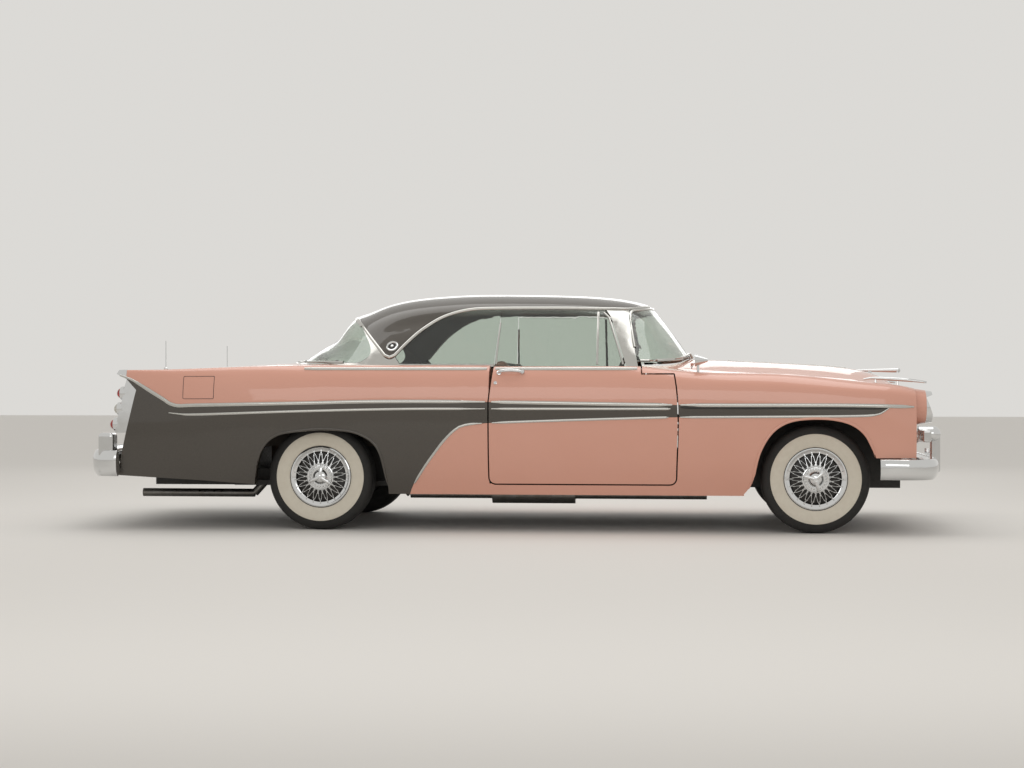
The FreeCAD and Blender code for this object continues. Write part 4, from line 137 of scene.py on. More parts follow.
def blended(tree, share, first, second):
    """A mix of two colours, each a hex text or a socket."""
    node = add_node(tree, "ShaderNodeMix", data_type="RGBA")
    tree.links.new(share, node.inputs[0])
    for index, source in ((6, first), (7, second)):
        if isinstance(source, str):
            node.inputs[index].default_value = linear(source)
        else:
            tree.links.new(source, node.inputs[index])
    return node.outputs[2]


def bumped(tree, shader, height, distance_mm, strength=0.3):
    """Feeds a height into the shader's normal."""
    settings = {"Strength": strength, "Distance": distance_mm / 1000}
    bump = add_node(tree, "ShaderNodeBump", settings, {"Height": height})
    tree.links.new(bump.outputs[0], shader.inputs["Normal"])


print("steps ready: place, compute, wave, mottle, spread, blended, bumped")

# %% [markdown]
# ## Body paint
# The real body is pressed steel in baked enamel: salmon above and below, with a taupe
# metallic sweep along the flank that widens over the whole lower rear. A painter masks the
# sweep with tape. The panels could be cut along the tape, but they would then need new
# solids. Here the tape lines are two curves of height along the length, so one finish
# colours every side panel, and each joint of colour lies under a bright strip.

# %% Two-tone enamel
SALMON, FADED_SALMON = "CF9580", "D9A390"
TAUPE, DARK_FLAKE, PALE_FLAKE = "4B453E", "3C3731", "4A443C"
TAPE_REACH = 2.8     # the tape curves run this far, in metres, before and behind the middle
TAPE_HEIGHT = 2.0    # the height in metres that a curve value of 1 stands for
FLANK_Y = 0.80       # the sweep lies only on what is farther than this from the middle
FLAKE_SHINE = 0.55   # how metallic the flakes make the taupe
SWEEP_TOP_MM = ((-2800, 1030), (-2557, 1019), (-2483, 992), (-2426, 966), (-2252, 864), (-2158, 815),
                (-1991, 816), (-1330, 829), (-806, 840), (-125, 838), (1094, 820), (2122, 819),
                (2583, 809), (2800, 800))
SWEEP_FOOT_MM = ((-2800, 0), (-700, 0), (-604, 296), (-520, 420), (-445, 522), (-391, 590),
                 (-321, 658), (-254, 690), (-99, 703), (993, 740), (1120, 742), (2122, 750),
                 (2338, 758), (2375, 768), (2423, 800), (2470, 840), (2800, 840))
# Enamel has a colour coat that scatters light, under a top that is polished to a gloss.
ENAMEL = {"Roughness": 0.42, "Coat_Weight": 1.0, "Coat_Roughness": 0.035, "Coat_IOR": 1.5}


def tape_line(tree, x, points_mm):
    """A height in metres that follows tape points along the length."""
    share = compute(tree, "DIVIDE", compute(tree, "ADD", x, TAPE_REACH), 2 * TAPE_REACH)
    node = add_node(tree, "ShaderNodeFloatCurve", links={"Value": share})
    curve = node.mapping.curves[0]
    for along, height in points_mm[1:-1]:
        curve.points.new((along / 1000 + TAPE_REACH) / (2 * TAPE_REACH), height / (1000 * TAPE_HEIGHT))
    curve.points[0].location = (0, points_mm[0][1] / (1000 * TAPE_HEIGHT))
    curve.points[len(curve.points) - 1].location = (1, points_mm[-1][1] / (1000 * TAPE_HEIGHT))
    for point in curve.points:
        point.handle_type = "VECTOR"
    node.mapping.update()
    return compute(tree, "MULTIPLY", node.outputs[0], TAPE_HEIGHT)


def enamel(name, hex_colour, two_tone=False, metallic=0.0):
    """Baked enamel: colour coat, metallic flakes where it has them, and a polished top."""
    material, tree, shader = new_finish(name, hex_colour, Metallic=metallic, **ENAMEL)
    point, (x, y, z) = place_of(tree)
    # Flakes are a tenth of a millimetre; they are drawn at 3 mm so that the render shows them.
    flakes = spread(tree, mottle(tree, point, 3, 1), 0.0, 1.0)
    # Sun and wax fade a panel in wide, faint clouds.
    fade = spread(tree, mottle(tree, point, 420), 0.0, 0.16)
    dark = blended(tree, flakes, DARK_FLAKE, PALE_FLAKE)
    light = blended(tree, fade, SALMON, FADED_SALMON)
    if two_tone:
        below = compute(tree, "LESS_THAN", z, tape_line(tree, x, SWEEP_TOP_MM))
        above = compute(tree, "GREATER_THAN", z, tape_line(tree, x, SWEEP_FOOT_MM))
        outside = compute(tree, "GREATER_THAN", compute(tree, "ABSOLUTE", y), FLANK_Y)
        sweep = compute(tree, "MULTIPLY", compute(tree, "MULTIPLY", below, above), outside)
        tree.links.new(blended(tree, sweep, light, dark), shader.inputs["Base Color"])
        tree.links.new(compute(tree, "MULTIPLY", sweep, FLAKE_SHINE), shader.inputs["Metallic"])
    else:
        tree.links.new(dark if metallic else light, shader.inputs["Base Color"])
    # Spray leaves faint orange peel, about 8 mm from hill to hill.
    bumped(tree, shader, mottle(tree, point, 8, 1), 0.05, 0.08)
    return material


two_tone_enamel = enamel("two_tone_enamel", SALMON, two_tone=True)
salmon_enamel = enamel("salmon_enamel", SALMON)
taupe_enamel = enamel("taupe_enamel", TAUPE, metallic=FLAKE_SHINE)
print("paints:", two_tone_enamel.name, salmon_enamel.name, taupe_enamel.name)

# %% [markdown]
# ## Headlamp hoods
# On the real car the wing's paint runs forward over each headlamp as a short hood, and only
# the front edge is plated. Here hood and rim are one solid, so the finish changes from
# enamel to chrome at the place along the length where the rim begins.

# %% Enamel hood with a plated rim
CHROME = "DCDDDD"
RIM_BEGINS_X = 2.672
lamp_hood_enamel, tree, shader = new_finish("hooded_lamp_enamel", SALMON, **ENAMEL)
point, (x, y, z) = place_of(tree)
rim = compute(tree, "GREATER_THAN", x, RIM_BEGINS_X)
tree.links.new(blended(tree, rim, SALMON, CHROME), shader.inputs["Base Color"])
tree.links.new(rim, shader.inputs["Metallic"])
tree.links.new(spread(tree, rim, 0.42, 0.06, 0.0, 1.0), shader.inputs["Roughness"])
print("lamp hood:", lamp_hood_enamel.name)

# %% [markdown]
# ## Metals
# Chrome is nickel and chromium plated on polished steel: almost a mirror, a little bluish,
# with faint wiping marks. Underneath, the frame is black chassis enamel with road dust, the
# engine is painted cast iron and the steering parts are turned steel. An even roughness is
# what makes a surface look like a computer's, so each one varies a little.

# %% Plated and dusted metals
def plated(name, hex_colour, roughness):
    """A mirror finish whose wiping marks are about 45 mm long."""
    material, tree, shader = new_finish(name, hex_colour, Metallic=1.0, Roughness=roughness)
    point, _ = place_of(tree)
    marks = spread(tree, mottle(tree, point, 45, 4), roughness * 0.6, roughness * 1.7)
    tree.links.new(marks, shader.inputs["Roughness"])
    return material


def dusted(name, hex_colour, dust_colour, roughness, metallic=0.0):
    """A working surface with dust in patches about 60 mm across and a fine, sandy bump."""
    material, tree, shader = new_finish(name, hex_colour, Metallic=metallic, Roughness=roughness)
    point, _ = place_of(tree)
    patches = spread(tree, mottle(tree, point, 60, 5), 0.0, 0.5)
    tree.links.new(blended(tree, patches, hex_colour, dust_colour), shader.inputs["Base Color"])
    dull = spread(tree, mottle(tree, point, 15, 3), roughness - 0.1, roughness + 0.15)
    tree.links.new(dull, shader.inputs["Roughness"])
    bumped(tree, shader, mottle(tree, point, 4, 3), 0.3, 0.2)
    return material


chrome_plate = plated("chrome_plate", CHROME, 0.06)
# Stainless steel is rolled and buffed, so it is warmer and softer than chrome.
stainless_trim = plated("stainless_trim", "C6C5C0", 0.14)
black_chassis_enamel = dusted("black_chassis_enamel", "1A1A19", "3A352E", 0.45)
cast_iron_block = dusted("painted_cast_iron", "3D4A46", "4A4238", 0.6)
bare_steel = dusted("bare_turned_steel", "8B8A87", "6E665C", 0.35, 1.0)
print("metals:", chrome_plate.name, stainless_trim.name, black_chassis_enamel.name)

# %% [markdown]
# ## Glass and lamp lenses
# The windows are laminated glass with a faint green tint, smooth enough to show the sky. The
# front lamp glasses are pressed with upright flutes that spread the light. The tail lamps
# are moulded acrylic: red above and below, clear for reversing between them. Flutes could
# be modelled, but a bump is enough, because each is only a few millimetres wide.

# %% Window glass, lamp glass and tail lamp acrylic
window_glass, tree, shader = new_finish("laminated_window_glass", "DEE6DF", Roughness=0.01, IOR=1.52,
                                        Transmission_Weight=1.0)

FLUTE_MM = 9
lamp_glass, tree, shader = new_finish("fluted_lamp_glass", "F2F4F2", Roughness=0.04, IOR=1.5,
                                      Transmission_Weight=0.82)
point, (x, y, z) = place_of(tree)
bumped(tree, shader, wave(tree, y, FLUTE_MM), 0.6, 0.5)

CLEAR_MIDDLE_Z, CLEAR_HALF, LENS_RING_MM = 0.790, 0.048, 7
tail_acrylic, tree, shader = new_finish("moulded_tail_acrylic", "A81410", Roughness=0.12, IOR=1.49,
                                        Transmission_Weight=0.35, Coat_Weight=0.6)
point, (x, y, z) = place_of(tree)
from_middle = compute(tree, "ABSOLUTE", compute(tree, "SUBTRACT", z, CLEAR_MIDDLE_Z))
clear = compute(tree, "LESS_THAN", from_middle, CLEAR_HALF)
tree.links.new(blended(tree, clear, "B3150F", "D9D6CC"), shader.inputs["Base Color"])
bumped(tree, shader, wave(tree, z, LENS_RING_MM), 0.5, 0.4)
print("clear materials:", window_glass.name, lamp_glass.name, tail_acrylic.name)

# %% [markdown]
# ## Rubber with a whitewall
# A tyre is moulded black rubber, matt and grey where it has aged, with a band of white
# rubber vulcanised into its outer side. The band could be a mesh of its own. It is flush
# with the rubber, though, so the finish works out how far a point is from the nearest axle
# and is cream within the band, on the outer face only.

# %% Whitewall tyre rubber
FRONT_AXLE_X, REAR_AXLE_X, HUB_HEIGHT = 1.980, -1.220, 0.347
BAND_FROM, BAND_TO, OUTER_FACE_Y = 0.203, 0.288, 0.79
tyre_rubber, tree, shader = new_finish("whitewall_tyre_rubber", "1D1C1B", Roughness=0.72)
point, (x, y, z) = place_of(tree)
high = compute(tree, "SUBTRACT", z, HUB_HEIGHT)
to_front, to_rear = (compute(tree, "ABSOLUTE", compute(tree, "SUBTRACT", x, axle))
                     for axle in (FRONT_AXLE_X, REAR_AXLE_X))
along = compute(tree, "MINIMUM", to_front, to_rear)
radius = compute(tree, "SQRT", compute(tree, "ADD", compute(tree, "MULTIPLY", high, high),
                                       compute(tree, "MULTIPLY", along, along)))
white = compute(tree, "MULTIPLY", compute(tree, "GREATER_THAN", radius, BAND_FROM),
                compute(tree, "LESS_THAN", radius, BAND_TO))
outer = compute(tree, "GREATER_THAN", compute(tree, "ABSOLUTE", y), OUTER_FACE_Y)
worn = spread(tree, mottle(tree, point, 30, 4), 0.0, 0.6)
cream = blended(tree, worn, "D0C9BA", "C8C0B0")
black = blended(tree, worn, "1B1A19", "2B2926")
tree.links.new(blended(tree, compute(tree, "MULTIPLY", white, outer), black, cream),
               shader.inputs["Base Color"])
bumped(tree, shader, mottle(tree, point, 2.5, 3), 0.2, 0.25)
print("rubber:", tyre_rubber.name)

# %% [markdown]
# ## Cabin finishes
# Seats of this age mix a hard-wearing ribbed cloth with grained vinyl edges. Cloth is two
# sets of threads at right angles, so two crossing waves draw it. Vinyl is embossed with a
# leather grain, which a cell pattern gives. Carpet is a loop pile, and the steering wheel
# is a hard moulded plastic with a soft gloss.

# %% Cloth, vinyl, carpet and plastic
def woven(name, hex_colour, second_colour, thread_mm):
    """Crossing threads, with the soft sheen that loose fibres give."""
    material, tree, shader = new_finish(name, hex_colour, Roughness=0.85, Sheen_Weight=0.35,
                                        Sheen_Roughness=0.5)
    _, (x, y, z) = place_of(tree)
    threads = compute(tree, "MULTIPLY", wave(tree, y, thread_mm),
                      wave(tree, compute(tree, "ADD", x, z), thread_mm))
    share = spread(tree, threads, 0.0, 1.0, -1.0, 1.0)
    tree.links.new(blended(tree, share, hex_colour, second_colour), shader.inputs["Base Color"])
    bumped(tree, shader, threads, 0.6, 0.5)
    return material


def grained(name, hex_colour, roughness, grain_mm=3.0):
    """Embossed or moulded plastic: a fine grain under a thin gloss, rubbed in patches."""
    material, tree, shader = new_finish(name, hex_colour, Roughness=roughness, Coat_Weight=0.15,
                                        Coat_Roughness=0.3)
    point, _ = place_of(tree)
    cells = add_node(tree, "ShaderNodeTexVoronoi", {"Scale": 1000 / grain_mm}, {"Vector": point})
    bumped(tree, shader, cells.outputs["Distance"], 0.3, 0.35)
    rubbed = spread(tree, mottle(tree, point, 70), roughness - 0.08, roughness + 0.1)
    tree.links.new(rubbed, shader.inputs["Roughness"])
    return material


# Real threads lie 1 mm apart; they are drawn at 4 mm so that the render shows them.
ribbed_cloth = woven("ribbed_seat_cloth", "4E453E", "6B5F55", 4)
loop_carpet = woven("loop_pile_carpet", "3B3530", "4A433C", 6)
salmon_vinyl = grained("salmon_grained_vinyl", "B98572", 0.45)
taupe_vinyl = grained("taupe_grained_vinyl", "4A433D", 0.5)
moulded_plastic = grained("moulded_wheel_plastic", "5A4F47", 0.3, 1.5)
dial_face = grained("printed_dial_face", "24211F", 0.4)
print("cabin finishes:", ribbed_cloth.name, loop_carpet.name, salmon_vinyl.name, taupe_vinyl.name)

# %% [markdown]
# ## Finish every panel of the frame
# The panels of the frame arrive plain. A table of finishes and panel names is easier to
# check than fifty-eight separate lines, and the last line names any panel that the table
# forgot.

# %% Give each panel of the frame its finish
FINISHES = {
    two_tone_enamel: "front_wing_left front_wing_right door_left door_right rear_quarter_left "
                     "rear_quarter_right sills",
    salmon_enamel: "hood deck_lid cowl rear_deck nose_panel",
    taupe_enamel: "roof tail_panel",
    chrome_plate: "front_bumper rear_bumper tail_lamp_towers grille hood_ornament wing_mirrors "
                  "antennas",
    lamp_hood_enamel: "headlamp_rims",
    stainless_trim: "windshield_pillars roof_feet",
    window_glass: "windshield_glass backlight_glass quarter_glass door_glass_left door_glass_right",
    lamp_glass: "front_lamp_glasses",
    tail_acrylic: "tail_lamp_lenses",
    tyre_rubber: "tyre_front_left tyre_front_right tyre_rear_left tyre_rear_right",
    black_chassis_enamel: "wheel_front_left wheel_front_right wheel_rear_left wheel_rear_right "
                          "chassis_frame front_suspension rear_axle rear_springs fuel_tank "
                          "inner_panels trunk_posts driveline",
    bare_steel: "knuckle_left knuckle_right tie_rod exhaust_system",
    cast_iron_block: "engine_block",
    loop_carpet: "floor_pan front_seat rear_seat",
    salmon_vinyl: "dashboard",
    moulded_plastic: "steering_wheel steering_column",
}
finished = set()
for finish, names in FINISHES.items():
    for name in names.split():
        if not nodes[name].data.materials:
            nodes[name].data.materials.append(finish)
        for slot in nodes[name].material_slots:
            slot.material = finish
        finished.add(name)
print("panels with a finish:", len(finished), "left over:", sorted(set(nodes) - finished))

# %% [markdown]
# ## Pieces from plain shapes
# Blender can draw trim with curves and modifiers, and each would be an object of its own. A
# plain list of points and faces is simpler to join, mirror and place, so every tool of this
# lesson returns one. Several shapes become one piece here. A piece has its place in its
# mesh, so the object itself stays at the origin, and a left piece is mirrored for the right.

# %% Join, mirror and make pieces
def joined(*shapes):
    """Several (vertices, faces) shapes as one."""
    vertices, faces = [], []
    for part_vertices, part_faces in shapes:
        first = len(vertices)
        vertices += part_vertices
        faces += [[first + i for i in face] for face in part_faces]
    return vertices, faces


def other_side(shape):
    """The shape's mirror image across the car's middle."""
    vertices, faces = shape
    return [Vector((v[0], -v[1], v[2])) for v in vertices], [list(reversed(face)) for face in faces]


def make_piece(name, shape, finish, body, smooth_angle=40):
    """A finished piece: doubles merged, faces outwards, riding on its body."""
    mesh = bpy.data.meshes.new(name)
    mesh.from_pydata([tuple(v) for v in shape[0]], [], shape[1])
    work = bmesh.new()
    work.from_mesh(mesh)
    bmesh.ops.remove_doubles(work, verts=work.verts, dist=0.00002)
    bmesh.ops.recalc_face_normals(work, faces=work.faces)
    for face in work.faces:
        face.smooth = True
    for edge in work.edges:
        soft = len(edge.link_faces) == 2 and edge.calc_face_angle(0) < math.radians(smooth_angle)
        edge.smooth = soft
    work.to_mesh(mesh)
    work.free()
    mesh.materials.append(finish)
    piece = bpy.data.objects.new(name, mesh)
    bpy.context.scene.collection.objects.link(piece)
    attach(piece, body)
    return piece


def make_pair(name, shape, finish, body):
    """A left piece and its mirror image; with the body "door" each rides on its own door."""
    for side, half in (("left", shape), ("right", other_side(shape))):
        make_piece(name + "_" + side, half, finish, "door_" + side if body == "door" else body)


print("pieces and pairs ready")

# %% [markdown]
# ## Tyres
# A 7.60-15 cross-ply tyre is moulded round a steel rim, with a wide white band vulcanised
# into its side and zigzag ribs on its tread. A screw modifier could turn its profile, but a
# lathe of our own can also swing the groove points to and fro from step to step, which
# makes the zigzag. The result stands for the plain tyre solid.

# %% Lathe forms
UP, FORWARD, TO_LEFT = Vector((0, 0, 1)), Vector((1, 0, 0)), Vector((0, 1, 0))
POLE = 0.0001  # a lathe point this close to the axis closes the form's middle


def swept(stations, closed=False):
    """Skins rings of points, with end caps where the run is open."""
    count = len(stations[0])
    vertices = [point for ring in stations for point in ring]
    faces = []
    runs = len(stations) if closed else len(stations) - 1
    for i in range(runs):
        a, b = i * count, ((i + 1) % len(stations)) * count
        for j in range(count):
            k = (j + 1) % count
            faces.append([a + j, a + k, b + k, b + j])
    if not closed:
        faces.append(list(reversed(range(count))))
        faces.append([len(vertices) - count + j for j in range(count)])
    return vertices, faces


def square_to(way):
    """A direction square to the given one, level unless that one is nearly upright."""
    return way.cross(UP if abs(way.z) < 0.9 else FORWARD).normalized()


def turned(profile, centre, axis, steps=64, zigzag=0.0):
    """A lathe form from (radius, reach along the axis) points; a third value marks a groove."""
    axis = Vector(axis).normalized()
    first = square_to(axis)
    second = axis.cross(first)
    stations = []
    for i in range(steps):
        angle = 2 * math.pi * i / steps
        spoke = first * math.cos(angle) + second * math.sin(angle)
        ring = []
        for point in profile:
            shift = zigzag * (1 if i % 2 else -1) if len(point) > 2 else 0
            ring.append(Vector(centre) + spoke * point[0] + axis * (point[1] + shift))
        stations.append(ring)
    return swept(stations, closed=True)


print("lathe ready")

# %% Tyres
TYRE_SIDE_MM = ((196, 66), (201, 74), (204, 80), (206, 83), (214, 86.5), (236, 92), (258, 95.5),
                (270, 96.4), (286, 95.8), (289, 94.6), (292, 94.2), (308, 90.5), (321, 86),
                (331, 80), (338, 73), (341.5, 67))
TREAD_MM = ((343.5, 61), (344.6, 53), (337, 51.5, 1), (337, 47, 1), (345.2, 45.5), (346, 32),
            (338, 30.5, 1), (338, 26, 1), (346.3, 24.5), (346.8, 12), (338.5, 10.5, 1),
            (338.5, 6, 1), (346.9, 4.5))
HUBS = {"front_left": (FRONT_AXLE_X, 0.7665), "front_right": (FRONT_AXLE_X, -0.7665),
        "rear_left": (REAR_AXLE_X, 0.757), "rear_right": (REAR_AXLE_X, -0.757)}
TREAD_STEPS, TREAD_SWING = 144, 0.0018

outer_half = TYRE_SIDE_MM + TREAD_MM
inner_half = [(p[0], -p[1]) + p[2:] for p in reversed(outer_half)]
tyre_profile = [(p[0] / 1000, p[1] / 1000) + p[2:] for p in list(outer_half) + inner_half]
for corner, (x, y) in HUBS.items():
    axle = (0, math.copysign(1, y), 0)
    shape = turned(tyre_profile, (x, y, HUB_HEIGHT), axle, TREAD_STEPS, TREAD_SWING)
    tyre = make_piece("tyre_dressed_" + corner, shape, tyre_rubber, "wheel_" + corner, 50)
    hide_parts("tyre_" + corner)
print("tyre faces:", len(tyre.data.polygons))

# %% [markdown]
# ## Wire wheel covers
# The cover is a pressed ring and a hub joined by two crossing rows of chromed wires. A wire
# repeats round a circle, which is what Geometry Nodes are for: one wire is drawn, put on
# a point for each place and turned by its share of the circle. An array modifier could do
# it too, but the tree's sizes are named inputs, so all four rows use the same tree.

# %% Helpers for Geometry Nodes
def new_tree(name, **sizes):
    """A tree with geometry in and out and a named input for each size."""
    tree = bpy.data.node_groups.new(name, "GeometryNodeTree")
    sockets = [("Geometry", "INPUT", "Geometry")]
    sockets += [(label.replace("_", " "), "INPUT", kind) for label, kind in sizes.items()]
    for label, direction, kind in sockets + [("Geometry", "OUTPUT", "Geometry")]:
        tree.interface.new_socket(name=label, in_out=direction, socket_type="NodeSocket" + kind)
    return tree, add_node(tree, "NodeGroupInput").outputs


def round_wire(tree, line, radius, sides):
    """Gives lines a round section with closed ends."""
    section = add_node(tree, "GeometryNodeCurvePrimitiveCircle", {"Resolution": sides}, {"Radius": radius})
    return add_node(tree, "GeometryNodeCurveToMesh", {"Fill Caps": True},
                    {"Curve": line, "Profile Curve": section.outputs[0]}).outputs[0]


def end_tree(tree, geometry, finish):
    """Makes instances real, sets their finish and sends them out."""
    solid = add_node(tree, "GeometryNodeRealizeInstances", links={0: geometry})
    painted = add_node(tree, "GeometryNodeSetMaterial", {"Material": finish},
                       {"Geometry": solid.outputs[0]})
    tree.links.new(painted.outputs[0], tree.nodes.new("NodeGroupOutput").inputs[0])


def grown(tree, start=None, **sizes):
    """Runs a tree once on a start mesh and returns its result as plain vertices and faces."""
    holder = bpy.data.objects.new("holder", start or bpy.data.meshes.new("holder"))
    bpy.context.scene.collection.objects.link(holder)
    modifier = holder.modifiers.new("grow", "NODES")
    modifier.node_group = tree
    for item in tree.interface.items_tree:
        key = item.name.replace(" ", "_")
        if item.in_out == "INPUT" and key in sizes:
            modifier[item.identifier] = sizes[key]
    mesh = bpy.data.meshes.new_from_object(holder.evaluated_get(bpy.context.evaluated_depsgraph_get()))
    holder.modifiers.remove(modifier)
    bpy.data.objects.remove(holder)
    vertices = [vertex.co.copy() for vertex in mesh.vertices]
    faces = [list(polygon.vertices) for polygon in mesh.polygons]
    bpy.data.meshes.remove(mesh)
    return vertices, faces


print("tree helpers ready")

# %% Wires by Geometry Nodes
WIRES_IN_ROW, WIRE_RADIUS, WIRE_SIDES = 22, 0.0019, 6
# Each row: radius and height at the hub, radius and height at the ring, twist in radians.
WIRE_ROWS = ((0.078, 0.086, 0.176, 0.072, 0.30), (0.060, 0.090, 0.150, 0.078, 0.24))

wire_row, given = new_tree("wire_row", Wire_count="Int", Hub_end="Vector", Ring_end="Vector",
                           Wire_radius="Float")
line = add_node(wire_row, "GeometryNodeCurvePrimitiveLine",
                links={"Start": given["Hub end"], "End": given["Ring end"]})
rod = round_wire(wire_row, line.outputs[0], given["Wire radius"], WIRE_SIDES)
spots = add_node(wire_row, "GeometryNodePoints", links={"Count": given["Wire count"]})
step = compute(wire_row, "DIVIDE", 2 * math.pi, given["Wire count"])
turn = compute(wire_row, "MULTIPLY", add_node(wire_row, "GeometryNodeInputIndex").outputs[0], step)
facing = add_node(wire_row, "ShaderNodeCombineXYZ", links={"Z": turn})
copies = add_node(wire_row, "GeometryNodeInstanceOnPoints",
                  links={"Points": spots.outputs[0], "Instance": rod, "Rotation": facing.outputs[0]})
end_tree(wire_row, copies.outputs[0], chrome_plate)

rows = []
for hand in (1, -1):
    for hub_radius, hub_high, ring_radius, ring_high, twist in WIRE_ROWS:
        ring_end = (ring_radius * math.cos(twist), hand * ring_radius * math.sin(twist), ring_high)
        rows.append(grown(wire_row, Wire_count=WIRES_IN_ROW, Hub_end=(hub_radius, 0, hub_high),
                          Ring_end=ring_end, Wire_radius=WIRE_RADIUS))
wires = joined(*rows)
print("wire cover faces:", len(wires[1]))

# %% [markdown]
# ## Hub, rings and spinner
# Round the wires sit a rolled outer ring and a flat inner disc, and in the middle a hub with
# three swept blades. The rings and the hub are lathe forms, since each was spun or pressed
# round. A blade could be cut from a block, but five sections from its root to its tip give
# its taper directly, and each blade is turned a third of a circle from the next.

# %% Rods along a path
def directions(points, closed=False):
    """The way that a path runs at each of its points."""
    last = len(points) - 1
    ways = []
    for i in range(len(points)):
        before = points[i - 1] if i or closed else points[0]
        after = points[(i + 1) % len(points)] if i < last or closed else points[last]
        ways.append((after - before).normalized())
    return ways


def tube(points, radii, sides=10, closed=False):
    """A round rod along a path, with one radius or one for each point."""
    points = [Vector(point) for point in points]
    if not isinstance(radii, (list, tuple)):
        radii = [radii] * len(points)
    ways = directions(points, closed)
    angles = [2 * math.pi * j / sides for j in range(sides)]
    side = square_to(ways[0])
    stations = []
    for point, way, radius in zip(points, ways, radii):
        side = (side - way * side.dot(way)).normalized()
        up = way.cross(side)
        stations.append([point + side * (radius * math.cos(angle)) + up * (radius * math.sin(angle))
                         for angle in angles])
    return swept(stations, closed)


print("rods ready")

# %% Wheel cover trim
# Each section of a blade: reach from the middle, half width, height of foot and of top.
BLADE_SECTIONS = ((0.012, 0.014, 0.093, 0.112), (0.034, 0.0135, 0.094, 0.111),
                  (0.056, 0.011, 0.094, 0.107), (0.074, 0.008, 0.093, 0.102),
                  (0.081, 0.004, 0.094, 0.098))
BLADE_EDGE = ((-1, 0), (-0.9, 0.7), (-0.4, 1), (0.4, 1), (0.9, 0.7), (1, 0))
BLADE_SWEEP = 0.16
BLADE_ANGLES = (35, 155, 275)
RING_CENTRE, RING_SIZE = (0.166, 0.078), (0.017, 0.010)
RING_SECTION = ((0, -1), (0.7, -0.6), (1.1, 0.1), (1.5, 0.5), (1.9, 0.2), (2.1, -0.6), (1.2, -1))
INNER_RING = [(0.083, 0.080), (0.087, 0.084), (0.086, 0.089), (0.080, 0.091), (0.076, 0.088),
              (0.077, 0.081)]
DISHED_DISC = [(POLE, 0.082), (0.078, 0.082), (0.080, 0.085), (0.074, 0.087), (0.050, 0.085),
               (0.046, 0.088), (0.040, 0.096), (0.030, 0.103), (0.016, 0.107), (POLE, 0.108)]


def spinner_blade(degrees):
    """One swept blade of the hub, pointing at the given angle."""
    angle = math.radians(degrees)
    way = Vector((math.cos(angle), math.sin(angle), 0))
    side = Vector((-way.y, way.x, 0))
    rings = []
    for reach, half, low, high in BLADE_SECTIONS:
        middle = way * reach + side * (reach * BLADE_SWEEP)
        rings.append([middle + side * (half * a) + UP * (low + (high - low) * b) for a, b in BLADE_EDGE])
    return swept(rings)


outer_ring = [(RING_CENTRE[0] + RING_SIZE[0] * a, RING_CENTRE[1] + RING_SIZE[1] * b)
              for a, b in RING_SECTION]
middle = (0, 0, 0)
valve = tube([(0.155, 0.045, 0.070), (0.150, 0.044, 0.092)], [0.004, 0.003], sides=8)
rings = (turned(outer_ring, middle, UP, steps=96), turned(INNER_RING, middle, UP, steps=64),
         turned(DISHED_DISC, middle, UP, steps=48))
cover = joined(*rings, valve, *map(spinner_blade, BLADE_ANGLES))
print("cover faces:", len(cover[1]))

# %% Put the covers on the wheels
# Each wheel has stopped at its own angle, as wheels do.
PARKED_DEG = {"front_left": 20, "front_right": 0, "rear_left": 75, "rear_right": 40}
for corner, (x, y) in HUBS.items():
    on_hub = (Matrix.Translation((x, y, HUB_HEIGHT))
              @ Matrix.Rotation(math.radians(-math.copysign(90, y)), 4, "X")
              @ Matrix.Rotation(math.radians(PARKED_DEG[corner]), 4, "Z"))
    for name, (vertices, faces) in (("wheel_wires_", wires), ("wheel_cover_", cover)):
        placed = [on_hub @ Vector(vertex) for vertex in vertices], faces
        make_piece(name + corner, placed, chrome_plate, "wheel_" + corner)
print("wheels covered:", len(HUBS))

# %% [markdown]
# ## Side mouldings
# Stainless strips hide the tape lines of the paint. Three of them run along each flank, and
# they stop at the door's edges so that the door can open. A shrinkwrap modifier could press
# a drawn strip on the panel. Here each line is drawn as the photograph shows it from the
# side, and a ray from the side finds the panel at each of its points, which also gives the
# direction that the strip must face.

# %% Lines laid on panels
BESIDE_CAR_Y = 1.4   # rays that look for the left flank start here
EDGE_DEPTH = -0.0015  # a strip's edges lie this deep in the panel, so that no gap shows


def smooth_run(points, step=0.025):
    """Points close together on a soft curve through the given ones."""
    points = [Vector(p) for p in points]
    run = []
    for i in range(len(points) - 1):
        a, b = points[max(i - 1, 0)], points[i]
        c, d = points[i + 1], points[min(i + 2, len(points) - 1)]
        count = max(1, int((c - b).length / step))
        for j in range(count):
            t = j / count
            run.append(0.5 * (2 * b + (c - a) * t + (2 * a - 5 * b + 4 * c - d) * t * t
                              + (3 * b - a - 3 * c + d) * t * t * t))
    return run + [points[-1]]


def surface_of(name):
    """A panel's surface, ready to be probed by rays."""
    mesh = nodes[name].data
    corners = [vertex.co.copy() for vertex in mesh.vertices]
    return BVHTree.FromPolygons(corners, [list(polygon.vertices) for polygon in mesh.polygons])


def touch(surface, start, way):
    """Where a ray meets the surface, and the outward direction there."""
    point, normal, _, _ = surface.ray_cast(Vector(start), Vector(way))
    if point is None:
        return None
    return point, normal if normal.dot(Vector(way)) < 0 else -normal


def laid_on_side(surface, points_mm, step=0.025):
    """Points (X, Z) in side view laid on the left flank: places and outward directions."""
    line = smooth_run([(x / 1000, 0, z / 1000) for x, z in points_mm], step)
    met = [touch(surface, (spot.x, BESIDE_CAR_Y, spot.z), -TO_LEFT) for spot in line]
    met = [found for found in met if found]
    return [place for place, _ in met], [out for _, out in met]


